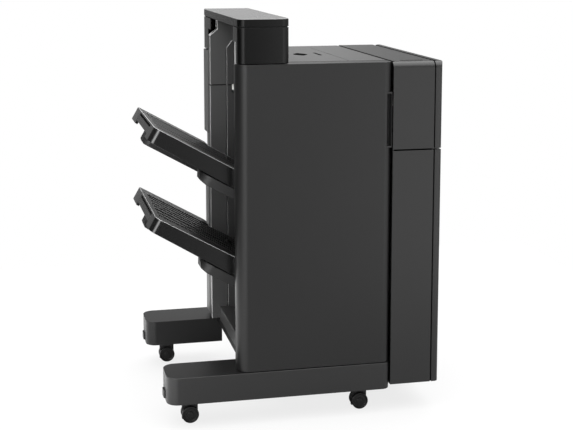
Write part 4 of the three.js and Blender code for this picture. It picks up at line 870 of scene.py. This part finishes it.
def near_post():
    left, right, front, back, bottom, top = 8.0, 78.0, 51.0, 78.0, 137.2, 980.0
    post = block(left, right, front, back, bottom, top)
    cut(post, block(left + WALL, right + OVER, front + WALL, back - WALL, bottom - OVER, top + OVER))
    arm_radius, pin_radius, arm_left, arm_right, arm_thick, lap = 5.0, 2.5, 22.0, 35.0, 5.0, 1.5
    arm_front = HINGE_Y - arm_radius
    lower_arm, upper_arm = 147.4, 912.4
    arms = []
    for z, pin_end in ((lower_arm, DOOR_BOTTOM + CLEARANCE), (upper_arm, BODY_TOP - CLEARANCE)):
        z1 = z + arm_thick
        arms.append(bar("z", HINGE_X, HINGE_Y, z, z1, arm_radius, 32))
        arms.append(block(HINGE_X, arm_right, arm_front, HINGE_Y, z, z1))
        arms.append(block(arm_left, arm_right, arm_front, front + lap, z, z1))
        arms.append(bar("z", HINGE_X, HINGE_Y, min(z, pin_end), max(z, pin_end), pin_radius, 24))
    join(post, *arms)
    piece(post, "near_post", POST, "frame", ["near_post"], edge=0.8)


bay_wall()
stack_fence()
bay_sill()
near_post()


# Rear column and the plates that close the tower

PLATE_BOTTOM = 157.0


def column_outline(left, depth):
    """The column from above: its near edge hooks into the bay and its back slants to the right."""
    front, hook_front, hook_left, hook_right = 478.0, 452.3, 61.0, 64.0
    back_left, inner_back_left, inner_back = 11.4, 17.4, BODY_BACK - WALL
    return [
        (left, front), (hook_left, front), (hook_left, hook_front), (hook_right, hook_front),
        (hook_right, front + WALL), (left + WALL, front + WALL), (left + WALL, front + depth),
        (inner_back_left, inner_back), (HEAD_RIGHT, inner_back), (HEAD_RIGHT, BODY_BACK),
        (back_left, BODY_BACK), (left, front + depth),
    ]


def rear_column():
    left, notch_left, top = 2.4, 8.4, 924.9
    notch_bottom, notch_top = 640.0, 688.0
    shallow, deep = 52.0, 71.0
    # Painted shade: a near-black sheet in the gap beside the column.
    gap_left, gap_right, gap_front, gap_back, gap_bottom, gap_top = 6.0, 7.0, 452.6, 477.4, 160.0, 924.0
    lining(block(gap_left, gap_right, gap_front, gap_back, gap_bottom, gap_top), "bay_gap_lining")
    column = prism(column_outline(left, shallow), PLATE_BOTTOM, notch_bottom)
    notch = prism(column_outline(notch_left, shallow), notch_bottom - WALL, notch_top + WALL)
    upper = prism(column_outline(left, deep), notch_top, top)
    join(column, notch, upper)
    piece(column, "rear_column", COLUMN, "frame", ["rear_column"], edge=0.8)


def tower_plates():
    top = COVER_BOTTOM - CLEARANCE
    rear = block(TOP_COVER_LEFT, TOWER_WIDTH, BODY_BACK - WALL, BODY_BACK, PLATE_BOTTOM, top)
    piece(rear, "rear_panel", DOCK, "frame", ["rear_panel"], edge=0.8)
    side_bottom, slot_front, slot_back = 153.0, 78.2, 426.8
    side = block(
        TOWER_WIDTH - WALL, TOWER_WIDTH, TOP_COVER_FRONT, BODY_BACK - WALL - CLEARANCE, side_bottom, top,
    )
    cut(side, block(
        TOWER_WIDTH - WALL - OVER, TOWER_WIDTH + OVER, slot_front, slot_back, ENTRY_BOTTOM - CLEARANCE,
        ENTRY_TOP + CLEARANCE,
    ))
    piece(side, "tower_side_plate", DOCK, "frame", ["tower_side_plate"], edge=0.6)


rear_column()
tower_plates()


# Trays: drawn level, with X = 0 at the fence and Z = 0 on top, then turned down the slope

TIP = -TRAY_LENGTH
DECK = 5.0
WING = -91.0
WING_LEDGE = 8.0
RECESS_TIP, RECESS_NEAR, RECESS_BACK, RECESS_DEPTH = TIP + 18, TRAY_NEAR + 54, TRAY_BACK - 44, 4.4
SHADE_FRONT, SHADE_BACK = TIP + 4.4, TIP + 5.4
CUT_REACH = 1500.0


def tray_place(height):
    return Matrix.Translation((TRAY_ROOT, 0, height)) @ Matrix.Rotation(SLOPE, 4, "Y")


def trim(obj, place):
    """Turns a shape down the slope and cuts it off upright at the fence."""
    beyond = block(TRAY_ROOT, CUT_REACH, -CUT_REACH, CUT_REACH, -CUT_REACH, CUT_REACH)
    return cut(turned(obj, place), beyond)


def tray_shell(level, place):
    near, far, back, deep = TRAY_NEAR, TRAY_FAR, TRAY_BACK, TRAY_HEIGHT
    corner, wing_corner, wing_far_corner, tip_wall = 18.6, 12.0, 6.0, 8.0
    under = -deep - OVER
    shell = rounded_block(TIP, deep, near, far, -deep, 0, (corner, 0, 0, 0), 16)
    join(shell, rounded_block(
        TIP, WING, far - WALL, back, -deep, 0, (0, 0, wing_corner, wing_far_corner), 8,
    ))
    pocket = rounded_block(
        TIP + tip_wall, deep + OVER, near + WALL, far - WALL, under, -DECK, (corner - WALL, 0, 0, 0), 12,
    )
    join(pocket, block(TIP + tip_wall, WING - WALL, far - WING_LEDGE, back - WALL, under, -DECK))
    recess = block(RECESS_TIP, deep + OVER, RECESS_NEAR, far - WALL, -RECESS_DEPTH, OVER)
    join(recess, block(RECESS_TIP, WING - WALL, far - WING_LEDGE, RECESS_BACK, -RECESS_DEPTH, OVER))
    window_near, window_far = near + 75, near + 325
    window = block(TIP - OVER, TIP + tip_wall + OVER, window_near, window_far, under, -DECK)
    taper_share = (deep - TRAY_TIP_HEIGHT) / TRAY_LENGTH
    taper = prism([
        (0, -deep), (0, under), (TIP - OVER, under), (TIP - OVER, OVER * taper_share - TRAY_TIP_HEIGHT),
    ], near - OVER, back + OVER, "y")
    cut(shell, pocket, recess, window, taper)
    trim(shell, place)
    level_again = place.inverted()

    def top_rim(co):
        x, y, z = level_again @ co
        return abs(z) < 0.05 and (y < near + corner + 0.1 or x < TIP + corner + 0.1)

    name, body = level + "_tray", level + "_lift"
    # The broad bevel on the near and tip top edges carries the tray's painted highlight.
    piece(shell, name, TRAY, body, [name], edge=1.0, segments=4, broad=top_rim, wide=2.6)
    # Painted shade: a near-black sheet behind the gap above the extension and along its far side.
    shade_near, shade_far, shade_top, shade_bottom = near + 72, near + 328, -DECK - 0.1, -8.7
    side_near, side_bottom = near + 321.5, -26.0
    shade = block(SHADE_FRONT, SHADE_BACK, shade_near, shade_far, shade_bottom, shade_top)
    join(shade, block(SHADE_FRONT, SHADE_BACK, side_near, shade_far, side_bottom, shade_top))
    lining(turned(shade, place), level + "_tray_shade", body)


# Where each rib of the deck starts and ends in Y; a groove lies before each, its floor and the rib's near
# face lined with painted shade
RIBS = (
    (141, 147), (166, 183), (203, 222), (250, 268), (288, 305), (325, 343), (363, 380), (400, 413),
    (437, 456),
)


def tray_deck(level, place):
    body = level + "_lift"
    rib_bottom, rib_top, rib_tip, rib_radius = -4.2, -0.2, RECESS_TIP + 0.8, 3.0
    face_tip, face_top, face_sheet, wing_end = RECESS_TIP + 4, -0.8, 0.5, WING - 5
    ribs, faces = [], []
    for start, stop in RIBS:
        end = TRAY_HEIGHT if stop < TRAY_FAR - WALL else wing_end
        radii = (rib_radius, 0, 0, rib_radius)
        ribs.append(rounded_block(rib_tip, end, start, stop, rib_bottom, rib_top, radii, 4))
        faces.append(block(face_tip, end - 1, start - face_sheet, start, rib_bottom, face_top))
    strips = trim(merge("ribs", ribs), place)
    piece(strips, level + "_tray_ribs", RIB, body, edge=0.8)

    # The bed and the sheets on the ribs' near faces are painted shade: near black in place of the grooves'
    # shade.
    bed_tip, bed_bottom, bed_top = RECESS_TIP + CLEARANCE, -4.3, -3.9
    bed = block(
        bed_tip, TRAY_HEIGHT, RECESS_NEAR + CLEARANCE, TRAY_FAR - WALL - CLEARANCE, bed_bottom, bed_top,
    )
    join(bed, block(
        bed_tip, WING - WALL - CLEARANCE, TRAY_FAR - WING_LEDGE, RECESS_BACK - CLEARANCE, bed_bottom,
        bed_top,
    ))
    lining(trim(merge("grooves", [bed] + faces), place), level + "_tray_grooves", body)


def tray_hook(level, place):
    """A low arch on the deck that keeps the sheets from sliding under the fence."""
    centre, left, right = (280.0, -2.0), -66.0, -52.0
    outer, inner = (13.0, 9.0), (8.0, 4.0)
    arch = scaled(arc(*centre, 1, 0, math.pi, 12), centre, *outer)
    arch += scaled(arc(*centre, 1, math.pi, -math.pi, 12), centre, *inner)
    hook = turned(prism(arch, left, right, "x"), place)
    piece(hook, level + "_tray_hook", DARK, level + "_lift", edge=0.4)


def tray_extension(level, place):
    lip_near, lip_far, lip_bottom, lip_top = TRAY_NEAR + 75.3, TRAY_NEAR + 321, -28.0, -11.4
    slide_near, slide_far, slide_bottom, slide_top = TRAY_NEAR + 79.3, TRAY_NEAR + 320.7, -12.0, -9.0
    lip_back, step_front, step_back = TIP + 4, TIP + 3.7, TIP + 9
    slide_front, slide_back = TIP + 6, TIP + 250
    step_bottom, step_top = -14.0, -11.5
    lip = block(TIP, lip_back, lip_near, lip_far, lip_bottom, lip_top)
    step = block(step_front, step_back, slide_near, slide_far, step_bottom, step_top)
    slider = block(slide_front, slide_back, slide_near, slide_far, slide_bottom, slide_top)
    join(lip, step, slider)
    name, body = level + "_tray_extension", level + "_extension"
    piece(turned(lip, place), name, END, body, [name], edge=0.8)
    # Painted shade: a near-black sheet over the front of the slider in the gap under the end.
    gap = 0.2
    shade = block(
        SHADE_FRONT, SHADE_BACK, slide_near + gap, slide_far - gap, step_top + gap, slide_top - gap,
    )
    lining(turned(shade, place), level + "_extension_shade", body)


def round_corner(shape, left, near, radius):
    square = block(left - OVER, left + radius, near - OVER, near + radius, TIP, OVER)
    cut(square, bar("z", left + radius, near + radius, TIP - OVER, 2 * OVER, radius, 96))
    cut(shape, square)


def tray_base(level, place, height):
    """The cover of the lift unit, the bracket, the beam between them and the arms through the fence."""
    top = -TRAY_HEIGHT - CLEARANCE
    bottom, end = -70.5, TRAY_HEIGHT
    open_end, open_top = 60.0, 0.0

    unit_left, unit_right, unit_bottom, unit_top = -281.0, -57.0, -70.0, -12.4
    unit_near, unit_far, unit_radius = TRAY_NEAR + 228, TRAY_NEAR + 296, 22.0
    chamfer, inner_chamfer = 5.0, 6.5
    unit = prism([
        (unit_left, unit_top), (unit_left, unit_bottom + chamfer), (unit_left + chamfer, unit_bottom),
        (unit_right, unit_bottom), (unit_right, unit_top),
    ], unit_near, unit_far, "y")
    unit_hollow = prism([
        (unit_left + WALL, open_top), (unit_left + WALL, unit_bottom + inner_chamfer),
        (unit_left + inner_chamfer, unit_bottom + WALL), (unit_right - WALL, unit_bottom + WALL),
        (unit_right - WALL, open_top),
    ], unit_near + WALL, unit_far - WALL, "y")

    left, near, far, radius = -150.0, TRAY_NEAR + 2, TRAY_NEAR + 66, 38.0
    knee_x, knee_z, foot_x = left + 10, -67.0, left + 27
    bracket = prism(
        [(left, top), (knee_x, knee_z), (foot_x, bottom), (end, bottom), (end, top)], near, far, "y",
    )
    bracket_hollow = prism([
        (left + WALL, open_top), (knee_x + WALL, knee_z + WALL), (foot_x, bottom + WALL),
        (open_end, bottom + WALL), (open_end, open_top),
    ], near + WALL, far - WALL, "y")

    beam_left, beam_far = -60.0, TRAY_FAR - 2
    beam = block(beam_left, end, near, beam_far, bottom, top)
    beam_hollow = block(beam_left + WALL, open_end, near + WALL, beam_far - WALL, bottom + WALL, open_top)

    round_corner(unit, unit_left, unit_near, unit_radius)
    round_corner(unit_hollow, unit_left + WALL, unit_near + WALL, unit_radius - WALL)
    round_corner(bracket, left, near, radius)
    round_corner(bracket_hollow, left + WALL, near + WALL, radius - WALL)
    join(unit, bracket, beam)
    cut(unit, unit_hollow, bracket_hollow, beam_hollow)
    trim(unit, place)

    arm_half, arm_left, arm_right = 3.0, TRAY_ROOT - 20, TRAY_ROOT + 40
    arm_bottom, arm_top, shaft_z = height - 75, height - 35, height - 55
    arms = [
        block(arm_left, arm_right, y - arm_half, y + arm_half, arm_bottom, arm_top) for y in ARM_MIDDLES
    ]
    join(unit, *arms)
    shaft_x, shaft_room = 102.65, 4.5
    cut(unit, bar("y", shaft_x, shaft_z, TRAY_NEAR - 12, TRAY_FAR + 12, shaft_room, 24))
    name = level + "_tray_base"
    piece(unit, name, BRACKET, level + "_lift", [name], edge=0.9)


def trays():
    for level, height in (("upper", UPPER_TRAY_ROOT_HEIGHT), ("lower", LOWER_TRAY_ROOT_HEIGHT)):
        place = tray_place(height)
        tray_shell(level, place)
        tray_deck(level, place)
        tray_hook(level, place)
        tray_extension(level, place)
        tray_base(level, place, height)


trays()


# Materials of the CAD pieces that are shown as they are

INNER = {
    "base_frame": DARK,
    "front_leg_beam": DARK,
    "rear_leg_beam": DARK,
    "rear_foot_beam": DARK,
    "dock_frame": DARK,
    "front_frame": STEEL,
    "rear_frame": STEEL,
    "near_lift_rack": STEEL,
    "far_lift_rack": STEEL,
    "drive_motor": STEEL,
    "motor_pulley": STEEL,
    "paper_guides": STEEL,
    "stapler_rail": STEEL,
    "drive_belt": RUBBER,
    "exit_belt": RUBBER,
    "entry_roller": RUBBER,
    "transport_roller": RUBBER,
    "exit_roller": RUBBER,
    "exit_idler": RUBBER,
    "upper_lift_shaft": NYLON,
    "lower_lift_shaft": NYLON,
    "stapler_unit": DARK,
    "jam_knob": GREEN,
    "jam_lever": GREEN,
    "staple_cartridge": GREEN,
    "control_board": BOARD,
}
INNER_EDGE, INNER_EDGE_ANGLE = 0.4, math.radians(40)


def inner_parts():
    for node, mat in INNER.items():
        shown = frame["nodes"][node]
        shown.data.materials.clear()
        shown.data.materials.append(mat)
        soften = shown.modifiers.new("edges", "BEVEL")
        soften.width = INNER_EDGE * MM
        soften.segments = 2
        soften.limit_method = "ANGLE"
        soften.angle_limit = INNER_EDGE_ANGLE


inner_parts()


# Light: a studio drawn by direction, while the camera sees plain white behind the object.
# STUDIO is the brightness near the horizon, by degrees round from the front (positive to the right);
# SKY is the brightness higher up, by the height of the direction; STRIP is a lamp at the front left.

STUDIO = (
    (-180, 0.5), (-174, 0.3), (-165, 0.25), (-150, 0.3), (-138, 0.06), (-66, 0.06), (-52, 0.9),
    (-25, 2.2), (-12, 0.8), (-4, 0.05), (4, 0.05), (9, 0.2), (16, 1.3), (26, 2.6), (40, 2.0), (60, 1.4),
    (85, 0.8), (110, 0.5), (145, 0.5), (162, 0.75), (166, 1.6), (171, 1.7), (176, 1.0), (180, 0.5),
)
SKY = (
    (0.0, 0.6), (0.12, 0.3), (0.25, 0.1), (0.4, 0.08), (0.52, 0.3), (0.62, 1.8), (0.78, 4.5), (1.0, 4.5),
)
STRIP = ((-180, 0), (-52, 0), (-38, 0.5), (-24, 1), (-12, 1), (-4, 0.4), (3, 0), (180, 0))
STRIP_STRENGTH = 14.0


def ramp(tree, stops, source):
    node = tree.nodes.new("ShaderNodeValToRGB")
    elements = node.color_ramp.elements
    for index, (where, level) in enumerate(stops):
        stop = elements[index] if index < 2 else elements.new(where)
        stop.position = where
        stop.color = grey(level)
    tree.links.new(source, node.inputs["Fac"])
    return node.outputs["Color"]


def round_ramp(tree, stops, turn_share):
    return ramp(tree, [(degrees / 360 + 0.5, level) for degrees, level in stops], turn_share)


def camera_switch(tree, others, camera):
    """Shows one shader to the camera and another to all other rays."""
    seen = tree.nodes.new("ShaderNodeLightPath")
    mix = tree.nodes.new("ShaderNodeMixShader")
    tree.links.new(seen.outputs["Is Camera Ray"], mix.inputs["Fac"])
    tree.links.new(others, mix.inputs[1])
    tree.links.new(camera, mix.inputs[2])
    return mix.outputs["Shader"]


def added(tree, first, second):
    node = tree.nodes.new("ShaderNodeAddShader")
    tree.links.new(first, node.inputs[0])
    tree.links.new(second, node.inputs[1])
    return node.outputs["Shader"]


def world():
    room = bpy.data.worlds.new("room")
    bpy.context.scene.world = room
    room.use_nodes = True
    tree = room.node_tree
    tree.nodes.clear()
    place = tree.nodes.new("ShaderNodeTexCoord")
    split = tree.nodes.new("ShaderNodeSeparateXYZ")
    tree.links.new(place.outputs["Generated"], split.inputs["Vector"])
    up = split.outputs["Z"]
    front = maths(tree, "MULTIPLY", split.outputs["Y"], -1.0)
    around = maths(tree, "ARCTAN2", split.outputs["X"], front)
    turn_share = maths(tree, "MULTIPLY_ADD", around, 0.5 / math.pi, 0.5)

    level = colour_mix(tree, map_range(tree, up, (0.06, 0.3), smooth=True))
    tree.links.new(round_ramp(tree, STUDIO, turn_share), level.inputs["A"])
    tree.links.new(ramp(tree, SKY, up), level.inputs["B"])
    glow = tree.nodes.new("ShaderNodeBackground")
    tree.links.new(level.outputs["Result"], glow.inputs["Color"])

    strip = tree.nodes.new("ShaderNodeBackground")
    above = map_range(tree, up, (0.0, 0.1), smooth=True)
    below = maths(tree, "SUBTRACT", 1.0, map_range(tree, up, (0.3, 0.45), smooth=True))
    window = maths(tree, "MULTIPLY", above, below)
    shape = maths(tree, "MULTIPLY", round_ramp(tree, STRIP, turn_share), window)
    tree.links.new(maths(tree, "MULTIPLY", shape, STRIP_STRENGTH), strip.inputs["Strength"])
    lit = added(tree, glow.outputs["Background"], strip.outputs["Background"])

    white = tree.nodes.new("ShaderNodeBackground")
    white.inputs["Color"].default_value = grey(1)
    out = tree.nodes.new("ShaderNodeOutputWorld")
    tree.links.new(camera_switch(tree, lit, white.outputs["Background"]), out.inputs["Surface"])


def floor():
    """A pale slab that is nearly white to the camera and keeps a faint shadow of the object."""
    left, right, front, back, bottom, top = -1300, 1500, -900, 1700, -6, -0.5
    ground = block(left, right, front, back, bottom, top)
    for vert in ground.data.vertices:
        vert.co = to_row(*vert.co)
    ground.name = "floor"
    mat = bpy.data.materials.new("pale floor")
    mat.use_nodes = True
    tree = mat.node_tree
    tree.nodes.clear()

    where = tree.nodes.new("ShaderNodeTexCoord")
    across = tree.nodes.new("ShaderNodeSeparateXYZ")
    tree.links.new(where.outputs["Object"], across.inputs["Vector"])
    plain = tree.nodes.new("ShaderNodeBsdfDiffuse")
    # To other rays the floor is paler to the left: a pool of light painted on the floor, brightening the
    # object's left sides in reflections and bounce.
    painted_light_to_left = map_range(tree, across.outputs["X"], (-0.25, -0.7), (0.32, 0.95), smooth=True)
    tree.links.new(painted_light_to_left, plain.inputs["Color"])

    faint = tree.nodes.new("ShaderNodeBsdfDiffuse")
    faint.inputs["Color"].default_value = grey(0.1)
    lift = tree.nodes.new("ShaderNodeEmission")
    lift.inputs["Color"].default_value = grey(1)
    lift.inputs["Strength"].default_value = 0.8
    seen = added(tree, faint.outputs["BSDF"], lift.outputs["Emission"])
    out = tree.nodes.new("ShaderNodeOutputMaterial")
    tree.links.new(camera_switch(tree, plain.outputs["BSDF"], seen), out.inputs["Surface"])
    ground.data.materials.append(mat)


world()
floor()


# Camera: solved from the straight edges of the tower, the docking unit and the legs

PHOTO_WIDTH = 573
SENSOR_WIDTH = 36


def camera():
    yaw, pitch = -0.2204, -0.139
    focal_pixels, rise_pixels = 1222.6, 95
    place = to_row(-535.9, -2950.5, 1210.2)
    ahead = Vector((
        -math.sin(yaw) * math.cos(pitch), math.cos(yaw) * math.cos(pitch), math.sin(pitch),
    ))
    right = Vector((math.cos(yaw), math.sin(yaw), 0))
    above = right.cross(ahead)
    turn = Matrix((right, above, -ahead)).transposed().to_4x4()
    data = bpy.data.cameras.new("view")
    data.sensor_width = SENSOR_WIDTH
    data.sensor_fit = "HORIZONTAL"
    data.lens = focal_pixels * SENSOR_WIDTH / PHOTO_WIDTH
    data.shift_y = -rise_pixels / PHOTO_WIDTH
    data.dof.use_dof = False
    data.clip_end = 50
    shot = bpy.data.objects.new("view", data)
    bpy.context.collection.objects.link(shot)
    shot.matrix_world = Matrix.Translation(place) @ turn
    bpy.context.scene.camera = shot


camera()
bpy.context.scene.view_settings.view_transform = "Standard"
